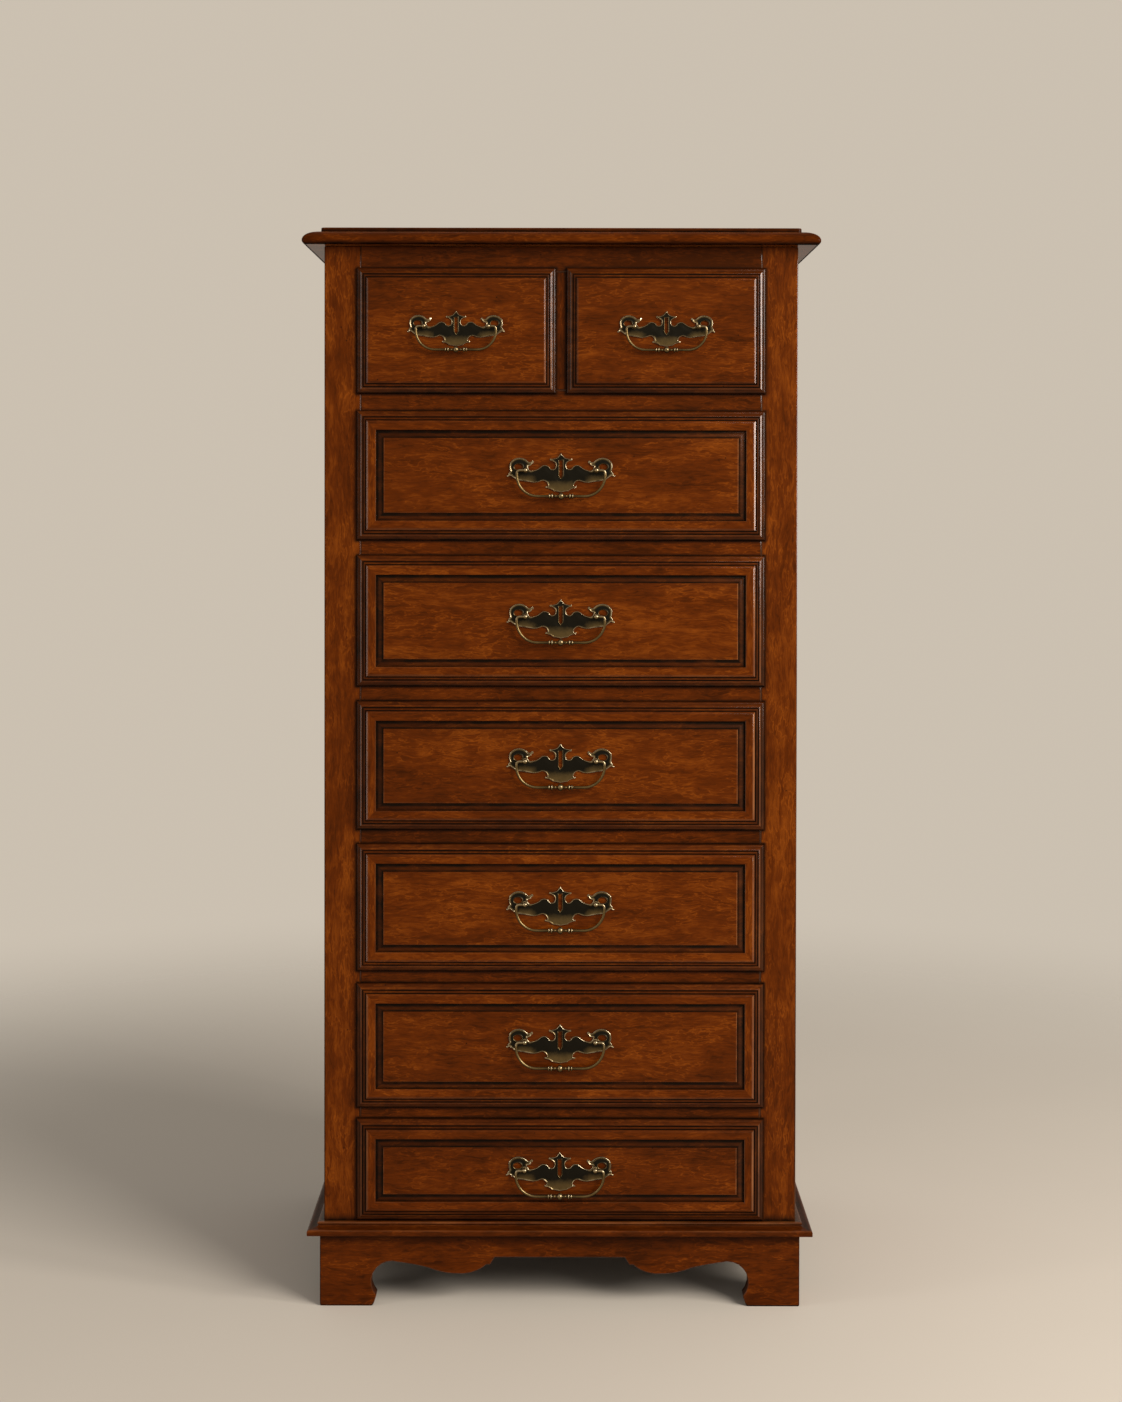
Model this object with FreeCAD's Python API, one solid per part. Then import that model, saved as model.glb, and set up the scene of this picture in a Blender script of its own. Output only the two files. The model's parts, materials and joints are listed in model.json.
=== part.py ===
# Tall chest of drawers: two small drawers over six wide ones in a framed case, on a moulded base
# with scroll-cut bracket feet. Every drawer has a pierced brass plate with a swinging bail.
# Millimetres, +Z up, front towards -Y, origin on the floor under the middle of the top board.
import FreeCAD
import Part
import math
import os
from FreeCAD import Vector

# Case frame and panels
case_width = 576.0
case_depth = 425.0
stile_width = 44.0
frame_thickness = 22.0
side_thickness = 19.0
muntin_width = 21.4
rail_shows = [20.4, 17.9, 17.6, 16.6, 14.6, 13.2]
top_rail_show = 26.4
tenon_length = 18.0
tenon_thickness = 8.0
tenon_shoulder = 4.0
back_thickness = 6.0
back_rabbet = 9.0
bottom_thickness = 12.0
bottom_rabbet = 6.0
cleat_size = 22.0

# Top board
front_overhang = 25.0
side_overhang = 25.4
back_overhang = 5.0
nose_return = 5.0
nose_height = 17.0
nose_reach = 21.4
step_height = 5.2

# Base
plinth_height = 89.8
plinth_proud = 4.8
plinth_thickness = 20.0
rear_plinth_thickness = 18.0
rear_plinth_height = 37.0
front_flat_half = 79.5
side_flat_half = 19.4
block_size = 32.0
block_floor_gap = 3.0
base_height = 13.9
base_proud = 19.2
base_nose_height = 7.2
base_nose_round = 2.0
base_bead_height = 3.0
base_bead_proud = 6.0

# Drawers: lipped fronts over the frame, boxes inside the openings
row_lip_heights = [152.9, 157.9, 159.9, 157.5, 156.0, 152.5, 124.5]
pull_rises = [4.6, 6.3, 5.9, 6.6, 6.0, 7.0, 2.6]
base_gap = 1.2
lip_overlap = 4.6
lip_thickness = 9.4
lip_gap = 0.5
core_thickness = 13.0
front_play = 1.5
run_play = 0.3
side_drop = 3.0
lip_edge = 2.0
ovolo_width = 6.4
ovolo_rise = 4.6
bead_inset = 8.6
bead_rise = 1.3
band_inset = 13.0
frame_inset = 24.0
recess_wall = 2.0
recess_depth = 3.6
field_slope = 7.0
field_edge = 1.4
field_step = 1.0
box_length = 365.0
box_thickness = 12.0
panel_thickness = 5.0
panel_lift = 8.0
groove_depth = 5.0
groove_play = 0.3
tail_length = 9.0
tail_pitch = 42.0
tail_flare = 1.5

# Runners and guides
runner_thickness = 18.0
runner_reach = 18.0
guide_height = 14.0

# Pulls, at the size of the wide drawers
plate_half_width = 65.0
plate_thickness = 1.8
post_half_spacing = 43.0
post_radius = 1.9
post_collar_radius = 3.5
post_collar_height = 0.9
post_head_radius = 3.2
post_reach = 5.8
post_hole_play = 0.2
post_end = 2.0
nut_radius = 4.0
nut_thickness = 3.2
thread_play = 0.1
bail_half_width = 53.4
bail_drop = 31.3
bail_wire_radius = 1.7
bail_turn_radius = 3.5
bail_corner_radius = 25.0
pivot_play = 0.05
pivot_end_play = 0.3
small_pull_share = 0.905

# Screws through the cleats and nails in the back
screw_radius = 2.0
screw_head_radius = 4.0
screw_head_height = 2.6
screw_bite = 14.0
nail_radius = 0.9
nail_head_radius = 2.4
nail_head_height = 0.8
nail_length = 22.0
nail_pitch = 190.0

# Reach of a cutting solid past the piece that it cuts
overrun = 10.0

# Scroll-cut edge of a bracket: inward along the bracket, and up the plinth, as shares of each.
# A stroke is the end of a line, or a point on an arc and the arc's end.
bracket_start_shares = (0.301, 0.0)
bracket_stroke_shares = [
    [(0.3135, 0.070), (0.3225, 0.141)],
    [(0.293, 0.3176), (0.450, 0.597)],
    [(0.533, 0.567), (0.621, 0.522)],
    [(0.708, 0.459), (0.792, 0.441)],
    [(0.887, 0.473), (0.952, 0.565)],
    [(0.974, 0.565)],
    [(1.0, 0.665)],
]

# Right half of the plate's outline from its finial to its lowest point, as shares of its half
# width, measured from the middle of the line between the posts.
plate_start_shares = (0.0, 0.328)
plate_stroke_shares = [
    [(0.026, 0.290), (0.068, 0.242)],
    [(0.120, 0.224), (0.178, 0.217)],
    [(0.207, 0.200), (0.181, 0.183)],
    [(0.138, 0.165), (0.108, 0.138)],
    [(0.096, 0.088), (0.117, 0.035)],
    [(0.161, 0.021), (0.200, 0.037)],
    [(0.291, 0.100), (0.372, 0.074)],
    [(0.461, 0.015), (0.558, -0.005)],
    [(0.600, 0.026), (0.615, 0.078)],
    [(0.561, 0.092), (0.532, 0.132)],
    [(0.509, 0.168), (0.545, 0.178)],
    [(0.575, 0.155), (0.615, 0.168)],
    [(0.794, 0.238), (0.945, 0.152)],
    [(0.961, 0.077), (0.945, -0.012)],
    [(0.967, -0.040), (0.985, -0.090)],
    [(0.998, -0.120), (0.978, -0.115)],
    [(0.958, -0.104), (0.935, -0.100)],
    [(0.905, -0.125), (0.869, -0.148)],
    [(0.848, -0.168), (0.815, -0.183)],
    [(0.662, -0.206), (0.511, -0.229)],
    [(0.431, -0.220), (0.348, -0.191)],
    [(0.278, -0.212), (0.243, -0.269)],
    [(0.245, -0.289), (0.260, -0.295)],
    [(0.286, -0.309), (0.262, -0.328)],
    [(0.200, -0.345), (0.135, -0.388)],
    [(0.069, -0.394), (0.0, -0.412)],
]
eye_place_shares = (0.790, 0.066)
eye_radius_share = 0.068
slot_half_share = 0.033
slot_top_share = 0.185
slot_shoulder_share = -0.100
slot_point_share = -0.148
# Turned middle of a bail: place along it, half width and radius of each bead, as shares of the
# plate's half width.
turning_shares = [(0.0, 0.060, 0.066), (0.100, 0.020, 0.032), (0.167, 0.022, 0.054), (0.210, 0.019, 0.050)]

# Places that follow from the sizes
overall_depth = front_overhang + case_depth + back_overhang
face_y = front_overhang - overall_depth / 2
back_y = face_y + case_depth
frame_back = face_y + frame_thickness
inner_back = back_y - back_thickness
half_case = case_width / 2
half_opening = half_case - stile_width
inner_half = half_case - side_thickness
plinth_half = half_case + plinth_proud
plinth_front = face_y - plinth_proud
moulding_top = plinth_height + base_height
bottom_top = plinth_height + bottom_thickness
lip_back = face_y - lip_gap
band_y = lip_back - lip_thickness
core_back = lip_back + core_thickness
box_back = core_back + box_length


def row_levels():
    """Lowest and highest level of each row's lips, top row first."""
    levels = []
    level = moulding_top + base_gap
    for height, show in zip(reversed(row_lip_heights), reversed([top_rail_show] + rail_shows)):
        levels.insert(0, (level, level + height))
        level += height + show
    return levels


rows = row_levels()
case_top = rows[0][1] + top_rail_show
openings = [(low + lip_overlap, high - lip_overlap) for low, high in rows]


def small_drawer_place(side):
    """Middle and half width of a small drawer's opening, side -1 or 1."""
    half = (half_opening - muntin_width / 2) / 2
    return side * (muntin_width / 2 + half), half


def drawer_places():
    """Middle, half width of the opening, row and pull scale of each drawer, from the top."""
    places = [small_drawer_place(-1) + (0, small_pull_share), small_drawer_place(1) + (0, small_pull_share)]
    for row in range(1, len(rows)):
        places.append((0, half_opening, row, 1))
    return places


def block(x0, x1, y0, y1, z0, z1):
    """Box between two values on each axis."""
    return Part.makeBox(x1 - x0, y1 - y0, z1 - z0, Vector(x0, y0, z0))


def prism(points, reach):
    """Solid from a flat polygon, drawn out along a vector."""
    return Part.Face(Part.makePolygon(points + points[:1])).extrude(reach)


def stroke_edges(start, strokes, place):
    """Edges of an outline given as lines and arcs, with place turning shares into points."""
    edges = []
    at = start
    for stroke in strokes:
        end = stroke[-1]
        if len(stroke) == 1:
            edges.append(Part.LineSegment(place(at), place(end)).toShape())
        else:
            edges.append(Part.Arc(place(at), place(stroke[0]), place(end)).toShape())
        at = end
    return edges


def line(a, b):
    """Straight edge between two points."""
    return Part.LineSegment(a, b).toShape()


def outline_face(edges):
    """Face inside a closed set of edges in any order."""
    return Part.Face(Part.Wire(Part.__sortEdges__(edges)))


def mirrored(shape):
    """The same piece on the other side of the chest."""
    return shape.mirror(Vector(0, 0, 0), Vector(1, 0, 0))


# Case pieces

def nose_section(place, half_length):
    """Edges of one moulded edge of the top: tight return under, broad ovolo over, then a step."""
    tip = half_length
    shoulder = half_length - nose_reach
    sag = 1 - math.sqrt(0.5)
    return [
        Part.Arc(place(tip - nose_return, 0), place(tip - nose_return * sag, nose_return * sag),
                 place(tip, nose_return)).toShape(),
        Part.Arc(place(tip, nose_return),
                 place(tip - nose_reach * sag, nose_return + (nose_height - nose_return) * (1 - sag)),
                 place(shoulder, nose_height)).toShape(),
        line(place(shoulder, nose_height), place(shoulder, nose_height + step_height)),
    ]


def top_board():
    """Board moulded on the front and both ends, square at the back."""
    half_width = half_case + side_overhang
    front_y = face_y - front_overhang
    rear_y = back_y + back_overhang
    thickness = nose_height + step_height

    def right(u, h):
        return Vector(u, front_y, case_top + h)

    def left(u, h):
        return Vector(-u, front_y, case_top + h)

    def front(u, h):
        return Vector(-half_width, -u, case_top + h)

    inner_foot = half_width - nose_return
    inner_top = half_width - nose_reach
    ends = nose_section(right, half_width) + nose_section(left, half_width)
    ends.append(line(left(inner_foot, 0), right(inner_foot, 0)))
    ends.append(line(left(inner_top, thickness), right(inner_top, thickness)))
    along_y = outline_face(ends).extrude(Vector(0, overall_depth, 0))
    nose = nose_section(front, -front_y)
    nose.append(line(front(-rear_y, 0), front(-front_y - nose_return, 0)))
    nose.append(line(front(-rear_y, thickness), front(-front_y - nose_reach, thickness)))
    nose.append(line(front(-rear_y, 0), front(-rear_y, thickness)))
    along_x = outline_face(nose).extrude(Vector(2 * half_width, 0, 0))
    return along_y.common(along_x).removeSplitter()


def cleat_places():
    """Boxes of the two side cleats and the rear cleat."""
    low = case_top - cleat_size
    inner = inner_half - cleat_size
    return [
        (-inner_half, -inner, frame_back, inner_back, low, case_top),
        (inner, inner_half, frame_back, inner_back, low, case_top),
        (-inner, inner, inner_back - cleat_size, inner_back, low, case_top),
    ]


def top_cleats():
    """Strips inside the case that the top board is screwed down to."""
    return [block(*place) for place in cleat_places()]


def side_panel():
    """Right side, rabbeted for the back and the bottom."""
    panel = block(inner_half, half_case, frame_back, back_y, plinth_height, case_top)
    back_cut = block(inner_half - overrun, inner_half + back_rabbet, inner_back, back_y + overrun,
                     plinth_height - overrun, case_top + overrun)
    bottom_cut = block(inner_half - overrun, inner_half + bottom_rabbet, frame_back - overrun, inner_back,
                       plinth_height - overrun, bottom_top)
    return panel.cut(back_cut).cut(bottom_cut)


def rail_levels():
    """Lowest and highest level of each rail, from the top rail down to the bottom rail."""
    levels = [(openings[0][1], case_top)]
    for above, below in zip(openings, openings[1:]):
        levels.append((below[1], above[0]))
    levels.append((plinth_height, openings[-1][0]))
    return levels


def rail(low, high):
    """Rail between the stiles with a tenon at each end."""
    middle_y = face_y + frame_thickness / 2
    body = block(-half_opening, half_opening, face_y, frame_back, low, high)
    tenon = block(-half_opening - tenon_length, half_opening + tenon_length,
                  middle_y - tenon_thickness / 2, middle_y + tenon_thickness / 2,
                  low + tenon_shoulder, high - tenon_shoulder)
    return body.fuse(tenon).removeSplitter()


def stile():
    """Right stile with a mortise for every rail."""
    piece = block(half_opening, half_case, face_y, frame_back, plinth_height, case_top)
    for low, high in rail_levels():
        piece = piece.cut(rail(low, high))
    return piece


def centre_muntin():
    """Upright between the two small drawers."""
    half = muntin_width / 2
    return block(-half, half, face_y, frame_back, openings[0][0], openings[0][1])


def back_panel():
    """Thin panel in the rabbets of the sides."""
    half = inner_half + back_rabbet
    return block(-half, half, inner_back, back_y, plinth_height, case_top)


def bottom_panel():
    """Bottom in the rabbets of the sides, behind the bottom rail."""
    half = inner_half + bottom_rabbet
    return block(-half, half, frame_back, inner_back, plinth_height, bottom_top)


def drawer_runners():
    """Ledges level with the rails, each with a guide level with the stile's edge."""
    pieces = []
    for row, (low, high) in enumerate(openings):
        under = bottom_top if row == len(openings) - 1 else low - runner_thickness
        ledge = block(half_opening - runner_reach, inner_half, frame_back, inner_back, under, low)
        guide = block(half_opening, inner_half, frame_back, inner_back, low, low + guide_height)
        pieces += [ledge, guide, mirrored(ledge), mirrored(guide)]
    low = openings[0][0]
    reach = muntin_width / 2 + runner_reach
    pieces.append(block(-reach, reach, frame_back, inner_back, low - runner_thickness, low))
    pieces.append(block(-muntin_width / 2, muntin_width / 2, frame_back, inner_back, low, low + guide_height))
    return pieces


# Base pieces

def base_section(place):
    """Face of the base moulding: rounded nose, cove and a bead against the case."""
    cove_top = base_height - base_bead_height
    nose_top = base_nose_height
    nose_mid = base_proud - base_nose_round * (1 - math.sqrt(0.5))
    drop = base_nose_round * (1 - math.sqrt(0.5))
    bead_mid = base_height - base_bead_height / 2
    cove_mid_proud = base_bead_proud + (base_proud - base_nose_round - base_bead_proud) / 3
    cove_mid = nose_top + (cove_top - nose_top) / 3
    return outline_face([
        line(place(0, 0), place(base_proud, 0)),
        line(place(base_proud, 0), place(base_proud, nose_top - base_nose_round)),
        Part.Arc(place(base_proud, nose_top - base_nose_round), place(nose_mid, nose_top - drop),
                 place(base_proud - base_nose_round, nose_top)).toShape(),
        Part.Arc(place(base_proud - base_nose_round, nose_top), place(cove_mid_proud, cove_mid),
                 place(base_bead_proud, cove_top)).toShape(),
        Part.Arc(place(base_bead_proud, cove_top),
                 place(base_bead_proud + base_bead_height / 2, bead_mid),
                 place(base_bead_proud, base_height)).toShape(),
        line(place(base_bead_proud, base_height), place(0, base_height)),
        line(place(0, base_height), place(0, 0)),
    ])


def mitre_wedge(corner_x, corner_y, reach, low, high, side_part):
    """Waste of a mitre at the right front corner, taken off the front piece or off the side piece."""
    near = Vector(corner_x - reach, corner_y + reach, low)
    far = Vector(corner_x + reach, corner_y - reach, low)
    turn = Vector(corner_x - reach, corner_y - reach, low)
    if not side_part:
        turn = Vector(corner_x + reach, corner_y + reach, low)
    return prism([near, far, turn], Vector(0, 0, high - low))


def front_base_moulding():
    """Moulding across the front, mitred at both ends."""
    half = half_case + base_proud

    def place(proud, up):
        return Vector(-half, face_y - proud, plinth_height + up)

    piece = base_section(place).extrude(Vector(2 * half, 0, 0))
    waste = mitre_wedge(half_case, face_y, base_proud + overrun, plinth_height - overrun,
                        moulding_top + overrun, False)
    return piece.cut(waste).cut(mirrored(waste))


def side_base_moulding():
    """Moulding along the right side, mitred at the front and square at the back."""
    front = face_y - base_proud

    def place(proud, up):
        return Vector(half_case + proud, front, plinth_height + up)

    piece = base_section(place).extrude(Vector(0, back_y - front, 0))
    waste = mitre_wedge(half_case, face_y, base_proud + overrun, plinth_height - overrun,
                        moulding_top + overrun, True)
    return piece.cut(waste)


def bracket_board(half_length, bracket_length, place):
    """Face of a plinth board with a scroll-cut foot at each end."""

    def left(point):
        return place(bracket_length * point[0] - half_length, plinth_height * point[1])

    def right(point):
        return place(half_length - bracket_length * point[0], plinth_height * point[1])

    edges = []
    for side in (left, right):
        edges += stroke_edges(bracket_start_shares, bracket_stroke_shares, side)
        edges.append(line(side((0, 0)), side(bracket_start_shares)))
        edges.append(line(side((0, 0)), side((0, 1))))
    flat = bracket_stroke_shares[-1][-1]
    edges.append(line(left(flat), right(flat)))
    edges.append(line(left((0, 1)), right((0, 1))))
    return outline_face(edges)


def plinth_waste(side_part):
    """Waste of the mitre between the apron and the right plinth side."""
    return mitre_wedge(plinth_half, plinth_front, plinth_thickness + overrun, -overrun,
                       plinth_height + overrun, side_part)


def front_apron():
    """Scroll-cut front of the plinth, mitred at both ends."""

    def place(along, up):
        return Vector(along, plinth_front, up)

    face = bracket_board(plinth_half, plinth_half - front_flat_half, place)
    board = face.extrude(Vector(0, plinth_thickness, 0))
    waste = plinth_waste(False)
    return board.cut(waste).cut(mirrored(waste))


def plinth_side():
    """Right side of the plinth, scroll-cut like the front."""
    half_length = (back_y - plinth_front) / 2
    middle = (back_y + plinth_front) / 2

    def place(along, up):
        return Vector(plinth_half - plinth_thickness, middle + along, up)

    face = bracket_board(half_length, half_length - side_flat_half, place)
    board = face.extrude(Vector(plinth_thickness, 0, 0))
    return board.cut(plinth_waste(True))


def rear_plinth():
    """Plain board between the plinth sides at the back."""
    half = plinth_half - plinth_thickness
    return block(-half, half, back_y - rear_plinth_thickness, back_y,
                 plinth_height - rear_plinth_height, plinth_height)


def corner_blocks():
    """Glue blocks behind the four feet."""
    outer = plinth_half - plinth_thickness
    front = plinth_front + plinth_thickness
    rear = back_y - rear_plinth_thickness
    pieces = []
    for y0 in (front, rear - block_size):
        piece = block(outer - block_size, outer, y0, y0 + block_size, block_floor_gap, plinth_height)
        pieces += [piece, mirrored(piece)]
    return pieces


def screw(x, y):
    """Countersunk screw pointing up through a cleat into the top board."""
    low = case_top - cleat_size
    head = Part.makeCone(screw_head_radius, screw_radius, screw_head_height, Vector(x, y, low))
    shank = Part.makeCylinder(screw_radius, cleat_size + screw_bite, Vector(x, y, low))
    return head.fuse(shank).removeSplitter()


def nail(x, z):
    """Nail driven forward through the back panel."""
    forward = Vector(0, -1, 0)
    head = Part.makeCylinder(nail_head_radius, nail_head_height, Vector(x, back_y + nail_head_height, z), forward)
    shank = Part.makeCylinder(nail_radius, nail_length, Vector(x, back_y, z), forward)
    return head.fuse(shank).removeSplitter()


def case_fasteners():
    """Screws along the cleats, and nails up both edges of the back."""
    pieces = []
    cleat_x = inner_half - cleat_size / 2
    for share in (0.15, 0.5, 0.85):
        y = frame_back + (inner_back - frame_back) * share
        pieces += [screw(cleat_x, y), screw(-cleat_x, y)]
    rear_y = inner_back - cleat_size / 2
    pieces += [screw(half_opening / 2, rear_y), screw(-half_opening / 2, rear_y)]
    nail_x = inner_half + back_rabbet / 2
    count = max(2, round((case_top - plinth_height) / nail_pitch))
    pitch = (case_top - plinth_height) / count
    for step in range(count):
        z = plinth_height + pitch * (step + 0.5)
        pieces += [nail(nail_x, z), nail(-nail_x, z)]
    return pieces


# Drawer pieces

def lip_section(half, place):
    """Face across a moulded lip: ovolo at the edge, then a bead and a flat band."""
    mid_width = ovolo_width * (1 - math.sqrt(0.5))
    mid_rise = ovolo_rise * math.sqrt(0.5)
    crown = lip_edge + ovolo_rise
    edges = [line(place(-half, 0), place(half, 0))]
    for side in (-1, 1):
        edges.append(line(place(side * half, 0), place(side * half, lip_edge)))
        edges.append(Part.Arc(place(side * half, lip_edge),
                              place(side * (half - mid_width), lip_edge + mid_rise),
                              place(side * (half - ovolo_width), crown)).toShape())
        path = [(ovolo_width, crown), (bead_inset, crown), (bead_inset, crown + bead_rise),
                (band_inset, crown + bead_rise), (band_inset, lip_thickness)]
        for (inset_a, up_a), (inset_b, up_b) in zip(path, path[1:]):
            edges.append(line(place(side * (half - inset_a), up_a), place(side * (half - inset_b), up_b)))
    edges.append(line(place(band_inset - half, lip_thickness), place(half - band_inset, lip_thickness)))
    return outline_face(edges)


def moulded_lip(middle, half_wide, low, high):
    """Lip of a drawer front, with the same moulding mitred round all four edges."""
    half_high = (high - low) / 2
    level = (high + low) / 2

    def across(u, up):
        return Vector(middle + u, lip_back - up, low)

    def upright(u, up):
        return Vector(middle - half_wide, lip_back - up, level + u)

    along_z = lip_section(half_wide, across).extrude(Vector(0, 0, high - low))
    along_x = lip_section(half_high, upright).extrude(Vector(2 * half_wide, 0, 0))
    return along_z.common(along_x).removeSplitter()


def field_recess(middle, half_wide, low, high):
    """Waste between the frame band of a wide front and its raised field."""
    inner = frame_inset + recess_wall
    outer = inner + field_slope
    field = outer + field_edge
    deep = band_y + recess_depth
    shallow = band_y + field_step
    ring = block(middle - half_wide + frame_inset, middle + half_wide - frame_inset, band_y - overrun, deep,
                 low + frame_inset, high - frame_inset)
    slope = Part.makeWedge(middle - half_wide + outer, shallow, low + outer, low + inner,
                           middle - half_wide + inner, middle + half_wide - outer, deep, high - outer,
                           high - inner, middle + half_wide - inner)
    island = block(middle - half_wide + field, middle + half_wide - field, band_y - overrun, deep,
                   low + field, high - field)
    return ring.cut(slope).cut(island)


def box_levels(row):
    """Bottom and top of a drawer's sides, a running play over the runner."""
    low, high = openings[row]
    return low + run_play, high - front_play - side_drop


def side_tails(outer, inner, row):
    """Tails of a drawer side that lock into the front."""
    low, high = box_levels(row)
    count = max(2, int((high - low) / tail_pitch))
    pitch = (high - low) / count
    root = pitch / 4
    tip = root + tail_flare
    tip_y = core_back - tail_length
    tails = []
    for step in range(count):
        z = low + pitch * (step + 0.5)
        points = [Vector(outer, core_back, z - root), Vector(outer, tip_y, z - tip),
                  Vector(outer, tip_y, z + tip), Vector(outer, core_back, z + root)]
        tails.append(prism(points, Vector(inner - outer, 0, 0)))
    return tails


def panel_groove(middle, half_box, row):
    """Groove round the inside of a drawer for its bottom."""
    low = box_levels(row)[0] + panel_lift
    reach = half_box - box_thickness + groove_depth
    return block(middle - reach, middle + reach, core_back - groove_depth, box_back + overrun,
                 low, low + panel_thickness)


def drawer_front(middle, half, row, scale):
    """Lipped front with sockets for the tails, a groove for the bottom and holes for the posts."""
    low, high = rows[row]
    half_box = half - front_play
    half_lip = half + lip_overlap
    piece = moulded_lip(middle, half_lip, low, high)
    core = block(middle - half_box, middle + half_box, lip_back, core_back,
                 openings[row][0] + run_play, openings[row][1] - front_play)
    piece = piece.fuse(core).removeSplitter()
    if scale == 1:
        piece = piece.cut(field_recess(middle, half_lip, low, high))
    for side in (-1, 1):
        for tail in side_tails(middle + side * half_box, middle + side * (half_box - box_thickness), row):
            piece = piece.cut(tail)
    piece = piece.cut(panel_groove(middle, half_box, row))
    for x, z in post_places(middle, row, scale):
        hole = Part.makeCylinder(post_radius + post_hole_play, core_back - band_y + 2 * overrun,
                                 Vector(x, band_y - overrun, z), Vector(0, 1, 0))
        piece = piece.cut(hole)
    return piece


def drawer_box(middle, half, row):
    """Two sides dovetailed into the front, and a back between them over the bottom."""
    low, high = box_levels(row)
    half_box = half - front_play
    inner = half_box - box_thickness
    groove = panel_groove(middle, half_box, row)
    pieces = []
    for side in (-1, 1):
        ends = sorted((middle + side * half_box, middle + side * inner))
        board = block(ends[0], ends[1], core_back, box_back, low, high)
        board = board.fuse(side_tails(middle + side * half_box, middle + side * inner, row)).removeSplitter()
        pieces.append(board.cut(groove))
    pieces.append(block(middle - inner, middle + inner, box_back - box_thickness, box_back,
                        low + panel_lift + panel_thickness, high))
    return pieces


def drawer_bottom(middle, half, row):
    """Thin bottom held in the grooves and under the back."""
    low = box_levels(row)[0] + panel_lift
    reach = half - front_play - box_thickness + groove_depth - groove_play
    return block(middle - reach, middle + reach, core_back - groove_depth + groove_play, box_back,
                 low, low + panel_thickness)


# Pulls

def pull_level(row):
    """Height of the line between a pull's posts."""
    return (rows[row][0] + rows[row][1]) / 2 + pull_rises[row]


def post_places(middle, row, scale):
    """Middle of each post of a drawer's pull."""
    return [(middle + side * post_half_spacing * scale, pull_level(row)) for side in (-1, 1)]


def pull_plate(middle, row, scale):
    """Pierced plate with a finial between two scrolled heads."""
    unit = plate_half_width * scale
    level = pull_level(row)

    def right(point):
        return Vector(middle + unit * point[0], band_y - plate_thickness, level + unit * point[1])

    def left(point):
        return Vector(middle - unit * point[0], band_y - plate_thickness, level + unit * point[1])

    edges = []
    for side in (left, right):
        edges += stroke_edges(plate_start_shares, plate_stroke_shares, side)
    thick = Vector(0, plate_thickness, 0)
    plate = outline_face(edges).extrude(thick)
    slot = prism([right((slot_half_share, slot_top_share)), right((slot_half_share, slot_shoulder_share)),
                  right((0, slot_point_share)), left((slot_half_share, slot_shoulder_share)),
                  left((slot_half_share, slot_top_share))], thick)
    plate = plate.cut(slot)
    backward = Vector(0, 1, 0)
    for side in (left, right):
        eye = Part.makeCylinder(unit * eye_radius_share, plate_thickness, side(eye_place_shares), backward)
        plate = plate.cut(eye)
    for x, z in post_places(middle, row, scale):
        hole = Part.makeCylinder(post_radius + post_hole_play, plate_thickness,
                                 Vector(x, band_y - plate_thickness, z), backward)
        plate = plate.cut(hole)
    return plate


def pivot_y(scale):
    """Place of a bail's axis in front of the drawer."""
    return band_y - plate_thickness - post_reach * scale


def pull_post(x, z, side, scale):
    """Ball-headed post through the plate and the front, drilled for the end of the bail."""
    backward = Vector(0, 1, 0)
    front = pivot_y(scale)
    plate_front = band_y - plate_thickness
    end = core_back + nut_thickness + post_end
    shank = Part.makeCylinder(post_radius, end - front, Vector(x, front, z), backward)
    collar = Part.makeCylinder(post_collar_radius * scale, post_collar_height,
                               Vector(x, plate_front - post_collar_height, z), backward)
    head = Part.makeSphere(post_head_radius * scale, Vector(x, front, z))
    pivot = Part.makeCylinder(bail_wire_radius * scale + pivot_play, post_head_radius + overrun,
                              Vector(x, front, z), Vector(side, 0, 0))
    return shank.fuse([collar, head]).removeSplitter().cut(pivot)


def post_nut(x, z):
    """Hexagonal nut on the end of a post inside the drawer."""
    corners = []
    for step in range(6):
        angle = math.radians(60 * step)
        corners.append(Vector(x + nut_radius * math.cos(angle), core_back, z + nut_radius * math.sin(angle)))
    thick = Vector(0, nut_thickness, 0)
    bore = Part.makeCylinder(post_radius + thread_play, nut_thickness, Vector(x, core_back, z), Vector(0, 1, 0))
    return prism(corners, thick).cut(bore)


def drawer_pull(middle, row, scale):
    """Plate, two posts and two nuts."""
    pieces = [pull_plate(middle, row, scale)]
    for side, (x, z) in zip((-1, 1), post_places(middle, row, scale)):
        pieces.append(pull_post(x, z, side, scale))
        pieces.append(post_nut(x, z))
    return pieces


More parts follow.
